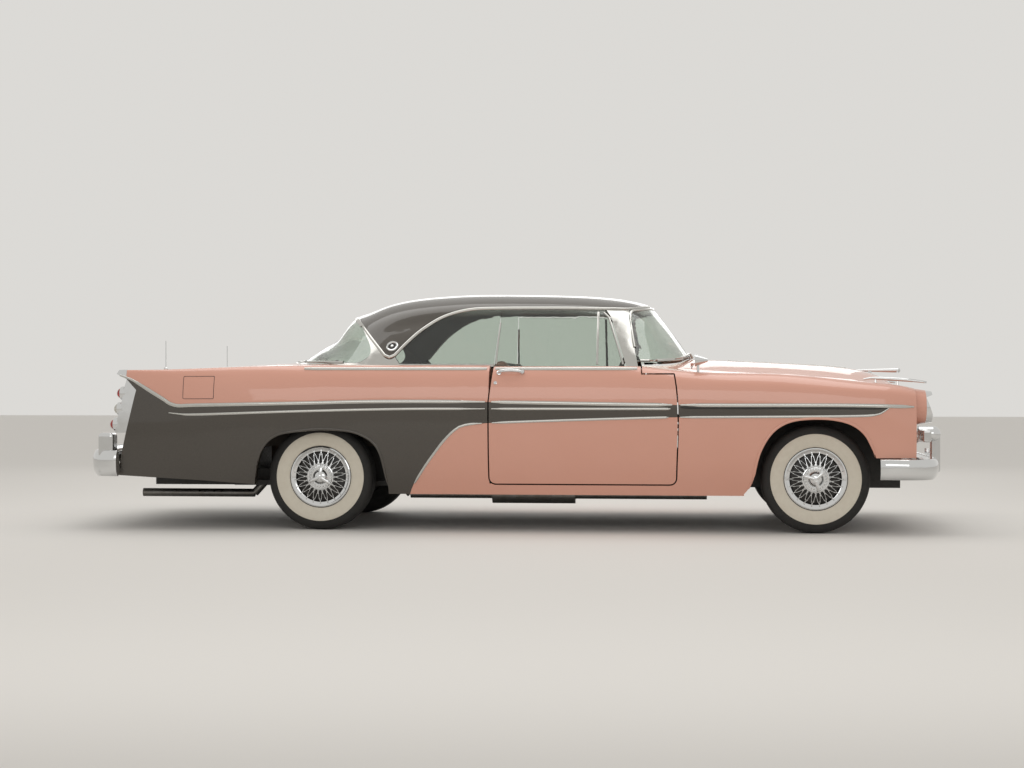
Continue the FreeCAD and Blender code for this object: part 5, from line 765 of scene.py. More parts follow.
def strip(points, outs, half_width, rise, taper=0.0):
    """A half-round strip on a surface; outs are the surface's outward directions."""
    section = ((EDGE_DEPTH, -1), (0.55 * rise, -0.88), (0.92 * rise, -0.5), (rise, 0),
               (0.92 * rise, 0.5), (0.55 * rise, 0.88), (EDGE_DEPTH, 1))
    stations = []
    for i, (point, out, way) in enumerate(zip(points, outs, directions(points))):
        side = out.cross(way).normalized()
        from_end = min(i, len(points) - 1 - i) / max(1, len(points) - 1)
        wide = half_width * min(1, (1 - taper) + from_end * 12 * taper)
        stations.append([point + out * a + side * (b * wide) for a, b in section])
    return swept(stations)


print("strips ready")

# %% Side mouldings
SWEEP_STRIPS_MM = {
    "upper": ((2583, 809), (2122, 819), (1094, 820), (-125, 838), (-806, 840), (-1330, 829),
              (-1991, 816), (-2158, 815), (-2252, 864), (-2426, 966), (-2483, 992), (-2535, 1010)),
    "lower": ((2423, 800), (2375, 768), (2338, 758), (2122, 750), (1120, 742), (993, 740), (400, 722),
              (-99, 703), (-254, 690), (-321, 658), (-391, 590), (-445, 522), (-520, 420), (-590, 312)),
    "middle": ((1094, 808), (1060, 796), (900, 795), (-125, 794), (-676, 792), (-1330, 777),
               (-1991, 755), (-2130, 758), (-2198, 766)),
}
# The line of a black strip under the wing's moulding, which is painted shadow.
WING_SHADOW_MM = ((2420, 803), (2122, 803), (1122, 804))
PANEL_SPANS = {"front_wing": (1.119, 3.0), "door": (-0.093, 1.093), "rear_quarter": (-3.0, -0.119)}


def strips_on(panel, surface, names, half_width, rise):
    """The parts of the named strips that lie on one left panel."""
    low, high = PANEL_SPANS[panel]
    shapes = []
    for name in names:
        places, outs = laid_on_side(surface, SWEEP_STRIPS_MM[name])
        kept = [(p, o) for p, o in zip(places, outs) if low <= p.x <= high and p.y > FLANK_Y]
        if len(kept) > 3:
            shapes.append(strip([p for p, _ in kept], [o for _, o in kept], half_width, rise, 0.5))
    return shapes


for panel in PANEL_SPANS:
    surface = surface_of(panel + "_left")
    flank = joined(*strips_on(panel, surface, ("upper",), half_width=0.0125, rise=0.008),
                   *strips_on(panel, surface, ("lower", "middle"), half_width=0.0085, rise=0.006))
    body = "door" if panel == "door" else "root"
    make_pair("side_mouldings_" + panel, flank, stainless_trim, body)
    if panel == "front_wing":
        # The wing's strip is deeper than the others. The black strip under it is painted shadow: it stands
        # for the shade that the deep strip casts on the wing.
        groove = strip(*laid_on_side(surface, WING_SHADOW_MM), half_width=0.010, rise=0.0045, taper=0.6)
        make_pair("wing_strip_underside", groove, black_chassis_enamel, "root")
    print(panel, "moulding faces:", len(flank[1]))

# %% [markdown]
# ## Gutter, belt line and glass frames
# The roof's gutter, the belt line and the frames of the front and rear glass are polished
# stainless. The gutter and the belt are laid on the panels by rays from the side. The
# curved glass bends out of that view, so its edge loop could be picked by hand. Instead,
# rays look inward from all round at rising heights: the lowest and highest ones that still
# meet glass give its rim, whatever way it bends.

# %% Roof gutter and belt line
GUTTER_MM = ((-1060, 1396), (-985, 1336), (-905, 1250), (-831, 1169), (-805, 1140), (-770, 1126),
             (-738, 1140), (-663, 1222), (-563, 1314), (-429, 1397), (-262, 1443), (-63, 1452),
             (334, 1452), (640, 1448), (800, 1450), (950, 1478))
BELT_SPANS_MM = {"rear_quarter": ((-1311, 1052), (-119, 1050)), "door": ((-93, 1050), (846, 1050))}
roof_surface = surface_of("roof")
gutter = strip(*laid_on_side(roof_surface, GUTTER_MM), half_width=0.011, rise=0.011, taper=0.3)
make_pair("roof_gutter", gutter, stainless_trim, "root")
for panel, points_mm in BELT_SPANS_MM.items():
    places, outs = laid_on_side(surface_of(panel + "_left"), points_mm)
    belt = strip(places, outs, half_width=0.012, rise=0.010, taper=0.2)
    body = "door" if panel == "door" else "root"
    make_pair("belt_moulding_" + panel, belt, stainless_trim, body)
print("gutter faces:", len(gutter[1]))

# %% Frames of the front and rear glass
LOWEST_RIM_Z, RIM_STEP, RIM_STEPS = 0.98, 0.004, 150
# Each glass: where along the car its bend is centred, which way it faces, how far round it goes.
WRAPPED_GLASS = {"windshield_glass": (0.30, 1, 56), "backlight_glass": (-0.75, -1, 66)}


def glass_rim(surface, centre_x, toward, span_deg, highest, count=60):
    """The top or bottom rim of wraparound glass, from one side round to the other."""
    heights = [LOWEST_RIM_Z + RIM_STEP * k for k in range(RIM_STEPS)]
    if highest:
        heights.reverse()
    places, outs = [], []
    for i in range(count + 1):
        angle = math.radians(-span_deg + 2 * span_deg * i / count)
        way = Vector((toward * math.cos(angle), math.sin(angle), 0))
        for height in heights:
            found = touch(surface, Vector((centre_x, 0, height)) + way * 2, -way)
            if found:
                places.append(found[0])
                outs.append(found[1])
                break
    return places, outs


def evened(places):
    """Takes the steps out of a probed line."""
    for _ in range(3):
        inner = [(a + b * 2 + c) / 4 for a, b, c in zip(places, places[1:], places[2:])]
        places = [places[0]] + inner + [places[-1]]
    return places


frames = []
for name, (centre_x, toward, span_deg) in WRAPPED_GLASS.items():
    surface = surface_of(name)
    for highest in (False, True):
        places, outs = glass_rim(surface, centre_x, toward, span_deg, highest)
        frames.append(strip(evened(places), outs, half_width=0.011, rise=0.008, taper=0.1))
        print(name, "rim points:", len(places))
make_piece("glass_frames", joined(*frames), stainless_trim, "root")

# %% [markdown]
# ## Vent windows, mirror and wipers
# The door's front corner has a small pane in its own bright frame, which moves with the
# door. An inside mirror hangs at the middle of the windshield's header, and two wipers rest
# at the foot of the glass. A bevelled cube would do for the mirror's case, but a block that
# is rounded by one formula has soft edges all round with few faces.

# %% Vent window frames
# Each bar of the frame: its line in side view and its half width.
VENT_BARS = ((((588, 1078), (588, 1250), (588, 1424)), 0.008),
             (((622, 1422), (655, 1392), (748, 1103), (754, 1078)), 0.007),
             (((-66, 1080), (-58, 1260), (-46, 1424)), 0.006))
pane = surface_of("door_glass_left")
vent = joined(*[strip(*laid_on_side(pane, line, step=0.02), half_width, rise=0.006)
                for line, half_width in VENT_BARS])
make_pair("vent_window_frame", vent, stainless_trim, "door")
print("vent frame faces:", len(vent[1]))

# %% Inside mirror
def rounded_box(centre, half, turn=None, power=4):
    """A pillow-edged block; a higher power gives tighter edges."""
    def softened(value):
        """A sine or cosine pushed outwards, which squares the round form."""
        return math.copysign(abs(value) ** (2 / power), value)

    layers, steps = 8, 20
    rings = []
    for i in range(layers + 1):
        rise = -math.pi / 2 + math.pi * i / layers
        level, reach = softened(math.sin(rise)), softened(max(math.cos(rise), POLE))
        ring = []
        for j in range(steps):
            angle = 2 * math.pi * j / steps
            point = Vector((softened(math.cos(angle)) * reach * half[0],
                            softened(math.sin(angle)) * reach * half[1], level * half[2]))
            ring.append(Vector(centre) + (turn @ point if turn else point))
        rings.append(ring)
    return swept(rings)


tilted_down = Matrix.Rotation(math.radians(-12), 3, "Y")
mirror_case = rounded_box((0.780, 0, 1.405), (0.012, 0.105, 0.028), tilted_down)
mirror_stem = tube([(0.790, 0, 1.42), (0.830, 0, 1.455), (0.850, 0, 1.468)], [0.006, 0.005, 0.008])
make_piece("inside_mirror", joined(mirror_case, mirror_stem), stainless_trim, "root")
print("mirror faces:", len(mirror_case[1]))

# %% Wipers
BLADE_POINTS, BLADE_LIFT = 12, 0.012
# A blade's height on the glass: at the middle, less towards the sides, and less along the blade.
BLADE_Z, SIDE_FALL, TIP_FALL, AHEAD_OF_GLASS_X = 1.165, 0.06, 0.002, 1.9
windshield = surface_of("windshield_glass")
wipers = []
for foot_y, tip_y in ((0.30, -0.16), (-0.24, -0.66)):
    run = []
    for i in range(BLADE_POINTS):
        y = foot_y + (tip_y - foot_y) * i / (BLADE_POINTS - 1)
        height = BLADE_Z - SIDE_FALL * abs(y) - TIP_FALL * i
        found = touch(windshield, (AHEAD_OF_GLASS_X, y, height), -FORWARD)
        if found:
            run.append(found[0] + found[1] * BLADE_LIFT)
    arm = [run[0] + Vector((0.03, 0.02, -0.03)), run[0] + Vector((0.012, 0.005, 0)), run[5]]
    wipers += [tube(run, 0.0045, sides=6), tube(arm, [0.009, 0.006, 0.004])]
make_piece("wipers", joined(*wipers), stainless_trim, "root")
print("wiper faces:", [len(shape[1]) for shape in wipers])

# %% [markdown]
# ## Door handles and locks
# A pull handle is a cast and plated bar on two feet with a thumb button, and the lock is a
# small turned cover. The bar could be a bent cylinder. Here it is a rod along a soft curve
# whose points stand off the door's skin by their own heights, so it follows the skin's bend.

# %% Door handles and locks
HANDLE_Z_MM = 1024
BAR_LIFTS = ((-40, 0.002), (-32, 0.014), (-10, 0.026), (30, 0.031), (70, 0.028), (98, 0.018), (112, 0.004))
# Each turned fitting of the door: place in side view and lathe profile.
DOOR_FITTINGS = (
    ((112, 1026), ((POLE, -0.002), (0.015, -0.002), (0.015, 0.012), (0.012, 0.016), (POLE, 0.017))),
    ((-38, 1024), ((POLE, -0.002), (0.017, -0.002), (0.016, 0.005), (0.011, 0.008), (POLE, 0.009))),
    ((-60, 960), ((POLE, -0.001), (0.011, -0.001), (0.011, 0.003), (0.008, 0.004), (0.008, 0.002),
                  (POLE, 0.002))),
)


def side_point(surface, x_mm, z_mm, lift=0.0):
    """A place on the left flank, and the way out from it."""
    place, out = touch(surface, (x_mm / 1000, BESIDE_CAR_Y, z_mm / 1000), -TO_LEFT)
    return place + out * lift, out


door_skin = surface_of("door_left")
bar_points = [side_point(door_skin, x_mm, HANDLE_Z_MM, lift)[0] for x_mm, lift in BAR_LIFTS]
bar = smooth_run(bar_points, step=0.008)
thickness = [0.0095 + 0.002 * math.sin(math.pi * i / (len(bar) - 1)) for i in range(len(bar))]
fittings = [turned(profile, *side_point(door_skin, *spot), steps=24) for spot, profile in DOOR_FITTINGS]
handle = joined(tube(bar, thickness, sides=12), *fittings)
make_pair("door_handle", handle, chrome_plate, "door")
print("handle faces:", len(handle[1]))

# %% [markdown]
# ## Square flap and pillar boss
# A square flap in the rear flank shows only its thin dark joint, and the roof pillar carries
# a plain round boss with a dark well. The joint could be cut into the panel. A hair-thin
# dark rod laid flush on the panel looks the same and leaves the solid whole.

# %% Flap joint and pillar boss
FLAP_PLACE_MM, FLAP_HALF, FLAP_CORNER = (-2003, 930), (0.102, 0.074), 0.006
JOINT_RADIUS, JOINT_LIFT = 0.0016, 0.0003
BOSS_RING = ((0.024, -0.006), (0.040, -0.006), (0.040, 0.004), (0.035, 0.009), (0.028, 0.008),
             (0.024, 0.003))
BOSS_DOME = ((POLE, 0.001), (0.011, 0.001), (0.010, 0.006), (POLE, 0.009))
BOSS_WELL = ((POLE, -0.006), (0.0245, -0.006), (0.0245, 0.002), (POLE, 0.002))


def rounded_outline(half_long, half_tall, radius):
    """Sixteen points round a rectangle with rounded corners."""
    outline = []
    for a, b in ((1, 1), (-1, 1), (-1, -1), (1, -1)):
        for k in range(4):
            angle = math.atan2(b, a) - math.pi / 4 + k * math.pi / 6
            outline.append((a * (half_long - radius) + radius * math.cos(angle),
                            b * (half_tall - radius) + radius * math.sin(angle)))
    return outline


def flap_joint(surface):
    """The thin dark line round the flap, flush with the panel."""
    centre, out = side_point(surface, *FLAP_PLACE_MM)
    along = (FORWARD - out * out.x).normalized()
    up = out.cross(along)
    loop = [centre + along * a + up * b for a, b in rounded_outline(*FLAP_HALF, FLAP_CORNER)]
    laid = []
    for spot in smooth_run(loop + loop[:1], step=0.01)[:-1]:
        found = touch(surface, (spot.x, BESIDE_CAR_Y, spot.z), -TO_LEFT)
        laid.append(found[0] + found[1] * JOINT_LIFT if found else spot)
    return tube(laid, JOINT_RADIUS, sides=8, closed=True)


on_pillar = side_point(roof_surface, -760, 1200)
boss = joined(turned(BOSS_RING, *on_pillar, steps=48), turned(BOSS_DOME, *on_pillar, steps=32))
well = turned(BOSS_WELL, *on_pillar, steps=48)
dark_lines = joined(flap_joint(surface_of("rear_quarter_left")), well)
make_pair("pillar_boss", boss, chrome_plate, "root")
make_pair("flap_joint_and_boss_well", dark_lines, black_chassis_enamel, "root")
print("boss faces:", len(boss[1]))

# %% [markdown]
# ## Wing spears, fin caps and lamp rings
# A chrome spear stands on each front wing on two small feet. The rear edge of each fin has
# a bright cap, and each lamp a ring round its lens. A cap that is drawn anew would hardly
# fit a curved fin, so the fin's own skin is cut off behind two planes, lifted a little and
# given a thickness.

# %% Wing spears
SPEAR_Y = 0.800
SPEAR_FEET_X, FOOT_TOP_Z, FOOT_SUNK, ABOVE_WING_Z = (2.36, 2.50), 0.984, 0.003, 1.4
SPEAR_LINE = ((2.285, 0.982), (2.330, 0.990), (2.420, 0.987), (2.520, 0.981), (2.610, 0.973),
              (2.680, 0.964))
spear_run = smooth_run([(x, SPEAR_Y, z) for x, z in SPEAR_LINE], step=0.02)
shares = [i / (len(spear_run) - 1) for i in range(len(spear_run))]
spear_radii = [0.003 + 0.009 * math.sin(math.pi * (0.08 + 0.80 * share)) for share in shares]
spear = [tube(spear_run, spear_radii, sides=12)]
wing_skin = surface_of("front_wing_left")
for x in SPEAR_FEET_X:
    foot, _ = touch(wing_skin, (x, SPEAR_Y, ABOVE_WING_Z), -UP)
    spear.append(tube([foot - UP * FOOT_SUNK, (x, SPEAR_Y, FOOT_TOP_Z)], [0.007, 0.005], sides=8))
make_pair("wing_spear", joined(*spear), chrome_plate, "root")
print("spear points:", len(spear_run))

# %% Fin caps
BEHIND_FIN_EDGE = ((-2.492, 0, 1), -FORWARD)
ABOVE_LAMP_TOWER = ((0, 0, 0.984), UP)


def sleeve(name, cuts, lift, thickness):
    """A thin closed cover over the part of a panel beyond every cut (point, direction)."""
    work = bmesh.new()
    work.from_mesh(nodes[name].data)
    bmesh.ops.remove_doubles(work, verts=work.verts, dist=0.00001)
    for spot, way in cuts:
        everything = work.verts[:] + work.edges[:] + work.faces[:]
        bmesh.ops.bisect_plane(work, geom=everything, dist=0.00001, plane_co=spot, plane_no=way,
                               clear_inner=True)
    bmesh.ops.recalc_face_normals(work, faces=work.faces)
    work.normal_update()
    for vertex in work.verts:
        vertex.co += vertex.normal * lift
    bmesh.ops.solidify(work, geom=work.faces[:], thickness=thickness)
    work.verts.index_update()
    vertices = [vertex.co.copy() for vertex in work.verts]
    faces = [[vertex.index for vertex in face.verts] for face in work.faces]
    work.free()
    return vertices, faces


fin_cap = sleeve("rear_quarter_left", (BEHIND_FIN_EDGE, ABOVE_LAMP_TOWER), lift=0.002, thickness=0.0025)
make_pair("fin_cap", fin_cap, chrome_plate, "root")
print("fin cap faces:", len(fin_cap[1]))

# %% Rings round the lamps
LENS_MIDDLES, LENS_Y, BEZEL_BEHIND = ((-2.480, 0.892), (-2.500, 0.790), (-2.526, 0.688)), 0.893, 0.022
HEADLAMP_MIDDLE = (2.630, 0.765, 0.808)
LENS_RING = ((0.037, 0.0), (0.045, 0.0), (0.045, 0.030), (0.042, 0.036), (0.038, 0.034))
HEADLAMP_RING = ((0.082, 0), (0.090, 0.002), (0.093, 0.010), (0.088, 0.016), (0.082, 0.010))
bezels = joined(*[turned(LENS_RING, (x - BEZEL_BEHIND, LENS_Y, z), -FORWARD, steps=40)
                  for x, z in LENS_MIDDLES])
headlamp = turned(HEADLAMP_RING, HEADLAMP_MIDDLE, FORWARD, steps=56)
for name, rings in (("tail_lamp_bezels", bezels), ("headlamp_retaining_rings", headlamp)):
    make_piece(name, joined(rings, other_side(rings)), chrome_plate, "root")
    print(name, "faces on each side:", len(rings[1]))

# %% [markdown]
# ## Rolled arch lips
# A pressed wing has its edge rolled over round the wheel, which stiffens it and catches the
# light. The lip could be drawn as an arc, but the real arch isn't quite round. For each
# angle about the axle, a ray from the side moves outwards until it meets sheet metal: that
# is the arch's edge, and the lip follows it.

# %% Arch lips
ARCH_STEPS, NEAREST_EDGE, EDGE_STEP, EDGE_TRIES = 60, 0.30, 0.003, 130


def arch_edge(surface, axle_x, angle):
    """The first place outwards from the axle where the flank has metal."""
    for k in range(EDGE_TRIES):
        radius = NEAREST_EDGE + EDGE_STEP * k
        spot = (axle_x + radius * math.cos(angle), BESIDE_CAR_Y, HUB_HEIGHT + radius * math.sin(angle))
        found = touch(surface, spot, -TO_LEFT)
        if found and found[0].y > FLANK_Y:
            return found
    return None


def arch_lip(panel, axle_x, first_deg, last_deg):
    """A low strip along one wheel arch, between two angles about the axle."""
    surface = surface_of(panel)
    span = last_deg - first_deg
    angles = [math.radians(first_deg + span * i / ARCH_STEPS) for i in range(ARCH_STEPS + 1)]
    edge = [found for found in (arch_edge(surface, axle_x, angle) for angle in angles) if found]
    places, outs = evened([place for place, _ in edge]), [out for _, out in edge]
    return strip(places, outs, half_width=0.009, rise=0.007, taper=0.4)


lips = joined(arch_lip("front_wing_left", FRONT_AXLE_X, 24, 188),
              arch_lip("rear_quarter_left", REAR_AXLE_X, -4, 180))
make_pair("arch_lips", lips, two_tone_enamel, "root")
print("arch lip faces:", len(lips[1]))

# %% [markdown]
# ## Splash pans and closing panels
# Between the body and each bumper a pressed pan keeps stones off the paint, and small
# panels close the gaps beside the deck lid and under the hood's lip. A flat plane with a
# Solidify modifier would make a straight one. The pans bow with the bumpers, so each sheet
# is a bent line in side view that is carried across the car and shifts as it goes. A flat
# dark plate behind the grille hides the engine bay.

# %% Pans and closing panels
SHEET = 0.003
FRONT_PAN_LINE = ((2.588, 0.512), (2.612, 0.500), (2.652, 0.468), (2.694, 0.446))
REAR_PAN_LINE = ((-2.482, 0.560), (-2.530, 0.548), (-2.620, 0.512), (-2.700, 0.488))
PAN_HALF_WIDTH, FRONT_BOW, REAR_BOW = 0.79, -0.025, 0.030
HOOD_LIP_X, HOOD_LIP_FOOT, GRILLE_BACK_X = 2.578, 0.826, 2.568


def pressed_sheet(line, low_y, high_y, wall, bow=0.0):
    """A sheet from low_y to high_y: (X, Z) points of its bend, (X, Z) thickness, bow at its ends."""
    stations = 12
    rings = []
    for i in range(stations + 1):
        y = low_y + (high_y - low_y) * i / stations
        shift = bow * (y / high_y) ** 2
        face = [Vector((x + shift, y, z)) for x, z in line]
        back = [Vector((x + shift + wall[0], y, z + wall[1])) for x, z in reversed(line)]
        rings.append(face + back)
    return swept(rings)


def upright(x, foot, top, low_y, high_y):
    """A flat upright sheet that faces forward."""
    return pressed_sheet(((x, foot), (x, top)), low_y, high_y, (-SHEET, 0))


front_pan = pressed_sheet(FRONT_PAN_LINE, -PAN_HALF_WIDTH, PAN_HALF_WIDTH, (0, -SHEET), FRONT_BOW)
rear_pan = pressed_sheet(REAR_PAN_LINE, -PAN_HALF_WIDTH, PAN_HALF_WIDTH, (0, -SHEET), REAR_BOW)
hood_lip_middle = upright(HOOD_LIP_X, HOOD_LIP_FOOT, 0.857, -0.345, 0.345)
hood_lip_end = upright(HOOD_LIP_X, HOOD_LIP_FOOT, 0.850, 0.340, 0.455)
shoulder = pressed_sheet(((-2.468, 0.800), (-2.452, 0.955)), 0.668, 0.860, (SHEET, 0))
baffle = upright(GRILLE_BACK_X, 0.600, 0.830, -0.530, 0.530)
nose = joined(front_pan, hood_lip_middle, hood_lip_end, other_side(hood_lip_end))
tail = joined(rear_pan, shoulder, other_side(shoulder))
make_piece("front_splash_pan", nose, salmon_enamel, "root")
make_piece("rear_splash_pan", tail, taupe_enamel, "root")
make_piece("grille_baffle", baffle, black_chassis_enamel, "root")
print("sheet faces:", len(nose[1]) + len(tail[1]) + len(baffle[1]))

# %% [markdown]
# ## Grille mesh
# Behind the grille's bars lies a fine woven mesh. Every wire runs on a slant and ends at the
# oval frame. Wires that are cut by a Boolean leave ragged ends, so the script works out each
# wire's two ends first, and a Geometry Nodes tree turns all those lines into round wires.

# %% Grille mesh by Geometry Nodes
OVAL_HALF_WIDE, OVAL_HALF_TALL, OVAL_MIDDLE_Z = 0.535, 0.106, 0.715
WIRE_PITCH, WIRES_EACH_SIDE, MESH_X, MESH_OFFSET = 0.012, 66, 2.5835, 0.0012
MESH_WIRE_RADIUS, MESH_WIRE_SIDES = 0.0011, 5


def in_oval(y, z):
    """Whether a place lies within the grille's opening."""
    over = max(0.0, abs(y) - (OVAL_HALF_WIDE - OVAL_HALF_TALL))
    return math.hypot(over, z - OVAL_MIDDLE_Z) <= OVAL_HALF_TALL


ends = []
heights = [OVAL_MIDDLE_Z + step * 0.001 for step in range(-120, 121)]
for slant in (1, -1):
    x = MESH_X + MESH_OFFSET * slant
    for k in range(-WIRES_EACH_SIDE, WIRES_EACH_SIDE + 1):
        run = [(x, k * WIRE_PITCH + slant * (z - OVAL_MIDDLE_Z), z) for z in heights]
        inside = [spot for spot in run if in_oval(spot[1], spot[2])]
        if len(inside) > 8:
            ends += [inside[0], inside[-1]]

skeleton = bpy.data.meshes.new("grille_mesh_lines")
skeleton.from_pydata(ends, [(i, i + 1) for i in range(0, len(ends), 2)], [])
wire_skin, given = new_tree("wire_skin", Wire_radius="Float")
lines = add_node(wire_skin, "GeometryNodeMeshToCurve", links={"Mesh": given["Geometry"]})
skin = round_wire(wire_skin, lines.outputs[0], given["Wire radius"], MESH_WIRE_SIDES)
end_tree(wire_skin, skin, stainless_trim)
grille_wires = grown(wire_skin, skeleton, Wire_radius=MESH_WIRE_RADIUS)
make_piece("grille_mesh", grille_wires, stainless_trim, "root")
print("grille wires:", len(ends) // 2, "faces:", len(grille_wires[1]))

# %% [markdown]
# ## Bench seats
# A bench of this age has springs under cotton padding, covered in ribbed cloth with sewn
# channels and vinyl along its edges. A subdivided box would look like foam. The padding's
# bulge comes from a cloth simulation: the form is inflated a little with gravity off, and
# how far a point may move is capped. The channels are pressed in afterwards, because the
# remesh before the cloth would lose them.

# %% Form and stuffing of a pad
EVEN_MESH = 0.011     # coarser than for a small pad, because a bench is 1.3 m wide
PRESSURE, MOST_BULGE, CLOTH_FRAMES = 4, 0.012, 20
ROUNDED_FROM, END_TIGHTNESS = 0.935, 0.30


def pad_form(outline, half_width):
    """A closed pad: a side-view outline (X, Z) pushed across, with rounded ends."""
    profile = smooth_run([(x, 0, z) for x, z in outline + outline[:1]], step=0.03)[:-1]
    centre = sum(profile, Vector()) / len(profile)
    ends = [1, 0.995, 0.985, 0.965, ROUNDED_FROM]
    rings = []
    for share in [-end for end in ends] + [i / 5 for i in range(-4, 5)] + ends[::-1]:
        edge = max(0.0, (abs(share) - ROUNDED_FROM) / (1 - ROUNDED_FROM))
        tight = math.sqrt(max(0.0, 1 - edge * edge)) * END_TIGHTNESS + 1 - END_TIGHTNESS
        across = TO_LEFT * (share * half_width)
        rings.append([centre + (p - centre) * tight + across for p in profile])
    return swept(rings)


def result_of(piece):
    """The piece's mesh with its modifiers applied."""
    return bpy.data.meshes.new_from_object(piece.evaluated_get(bpy.context.evaluated_depsgraph_get()))


def plumped(piece):
    """Remeshes a pad evenly, inflates it as cloth and keeps the result."""
    remesh = piece.modifiers.new("even", "REMESH")
    remesh.mode = "VOXEL"
    remesh.voxel_size = EVEN_MESH
    even = result_of(piece)
    piece.modifiers.remove(remesh)
    piece.data = even
    before = [vertex.co.copy() for vertex in even.vertices]
    stuffing = piece.modifiers.new("stuffing", "CLOTH")
    stuffing.settings.use_pressure = True
    stuffing.settings.uniform_pressure_force = PRESSURE
    stuffing.settings.effector_weights.gravity = 0
    stuffing.settings.quality = 4
    scene = bpy.context.scene
    for frame_number in range(1, CLOTH_FRAMES + 1):
        scene.frame_set(frame_number)
    full = result_of(piece)
    piece.modifiers.remove(stuffing)
    scene.frame_set(1)
    for vertex, start in zip(full.vertices, before):
        shift = vertex.co - start
        if shift.length > MOST_BULGE:
            vertex.co = start + shift * (MOST_BULGE / shift.length)
    piece.data = full


print("pads ready; quick run without cloth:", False)

# %% Sewn channels and a whole bench
FRONT_HALF, REAR_HALF = 0.665, 0.555     # half the width of each bench
VINYL_EDGE = 0.13                        # width of the vinyl at each end of a bench
CHANNEL, CHANNEL_DEPTH, SEAM_HALF = 0.075, 0.009, 0.008


def sewn(piece, half_width):
    """Presses sewn channels in, square to the bench, and a seam near each end."""
    seam = half_width - VINYL_EDGE
    ways = [vertex.normal.copy() for vertex in piece.data.vertices]
    for vertex, way in zip(piece.data.vertices, ways):
        y = vertex.co.y
        if abs(y) < seam:
            groove = 1 - abs(math.sin(math.pi * (y + seam) / CHANNEL))
            press = CHANNEL_DEPTH * groove ** 5
        else:
            press = CHANNEL_DEPTH * 1.3 * max(0.0, 1 - abs(abs(y) - seam) / SEAM_HALF)
        vertex.co -= way * press


def bench(name, outline, half_width, node):
    """One padded piece: cloth in the middle and vinyl at its ends, in place of a plain seat."""
    piece = make_piece(name, pad_form(outline, half_width), ribbed_cloth, "root", 180)
    plumped(piece)
    sewn(piece, half_width)
    mesh = piece.data
    mesh.materials.clear()
    for finish in (ribbed_cloth, salmon_vinyl):
        mesh.materials.append(finish)
    for polygon in mesh.polygons:
        polygon.use_smooth = True
        polygon.material_index = 0 if abs(polygon.center.y) < half_width - VINYL_EDGE else 1
    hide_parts(node)
    print(name, "points:", len(mesh.vertices), "size:", [round(v, 3) for v in piece.dimensions])


print("channels on a front bench:", round(2 * (FRONT_HALF - VINYL_EDGE) / CHANNEL))

# %% The four pads
BACK_OUTLINE = ((0.022, 0.075), (0.075, 0.066), (0.130, 0.075), (0.138, 0.16), (0.128, 0.30),
                (0.108, 0.42), (0.090, 0.478), (0.055, 0.488), (0.022, 0.474), (0.012, 0.38),
                (0.012, 0.22))
BACK_LEAN, BACK_FOOT_Z = math.radians(18), 0.625


def leaning(foot):
    """The back's outline, given across its thickness and up its height, leaned back at its foot."""
    cos, sin = math.cos(BACK_LEAN), math.sin(BACK_LEAN)
    return [(foot + a * cos - h * sin, BACK_FOOT_Z + a * sin + h * cos) for a, h in BACK_OUTLINE]


def cushion_outline(rear, front, low):
    """The cushion's outline in side view, thicker at its front edge."""
    return [(rear, low + 0.02), (rear + 0.03, low + 0.008), (front - 0.05, low + 0.008),
            (front - 0.016, low + 0.03), (front - 0.012, 0.62), (front - 0.03, 0.668),
            (front - 0.12, 0.684), (rear + 0.20, 0.672), (rear + 0.02, 0.655), (rear, 0.60)]


bench("front_cushion", cushion_outline(0.175, 0.597, 0.512), FRONT_HALF, "front_seat")
bench("front_back", leaning(0.0225), FRONT_HALF, "front_seat")
bench("rear_cushion", cushion_outline(-0.775, -0.355, 0.562), REAR_HALF, "rear_seat")
bench("rear_back", leaning(-0.9275), REAR_HALF, "rear_seat")

# %% [markdown]
# ## Door trim
# Inside each door is a card covered in vinyl, with a padded armrest, a window winder and a
# latch handle. All of it shows through the glass and when the door is open, so it rides on
# the door. Turned knobs and short rods are enough for fittings that are seen from a metre
# away.

# %% Door trim
WINDER_HUB, WINDER_KNOB = (0.62, 0.8045, 0.76), (0.70, 0.783, 0.715)
INWARDS = -TO_LEFT
door_card = rounded_box((0.480, 0.8105, 0.700), (0.500, 0.006, 0.255), power=8)
armrest = rounded_box((0.330, 0.788, 0.700), (0.170, 0.024, 0.026))
fittings = joined(
    turned([(POLE, 0), (0.022, 0), (0.020, 0.010), (POLE, 0.012)], WINDER_HUB, INWARDS, steps=28),
    tube([(0.62, 0.792, 0.76), (0.66, 0.786, 0.735), WINDER_KNOB], [0.006, 0.005, 0.006]),
    turned([(POLE, 0), (0.010, 0.002), (0.012, 0.012), (0.009, 0.024), (POLE, 0.027)], WINDER_KNOB,
           INWARDS, steps=24),
    tube([(0.83, 0.803, 0.80), (0.83, 0.788, 0.80), (0.76, 0.786, 0.795)], [0.008, 0.007, 0.005]))
make_pair("door_trim", door_card, taupe_vinyl, "door")
make_pair("door_armrest", armrest, salmon_vinyl, "door")
make_pair("door_inner_handles", fittings, chrome_plate, "door")
print("inner handle faces:", len(fittings[1]))

# %% [markdown]
# ## Horn ring and dials
# A chrome horn ring on two spokes turns with the steering wheel. The dashboard has round
# dials with plain ticks and no words. Ticks could be painted by a texture, but each is a
# tiny rod here, so that it is part of the mesh.

# %% Horn ring
COLUMN_LEAN, RING_RADIUS, SPOKE_FOOT = math.radians(62), 0.135, 0.036
HORN_CAP = ((POLE, 0.016), (0.040, 0.016), (0.044, 0.022), (0.038, 0.030), (0.020, 0.036), (POLE, 0.038))
wheel_centre = Vector((0.640, 0.370, 0.960))
wheel_axis = Vector((-math.sin(COLUMN_LEAN), 0, math.cos(COLUMN_LEAN)))
wheel_up = wheel_axis.cross(TO_LEFT)


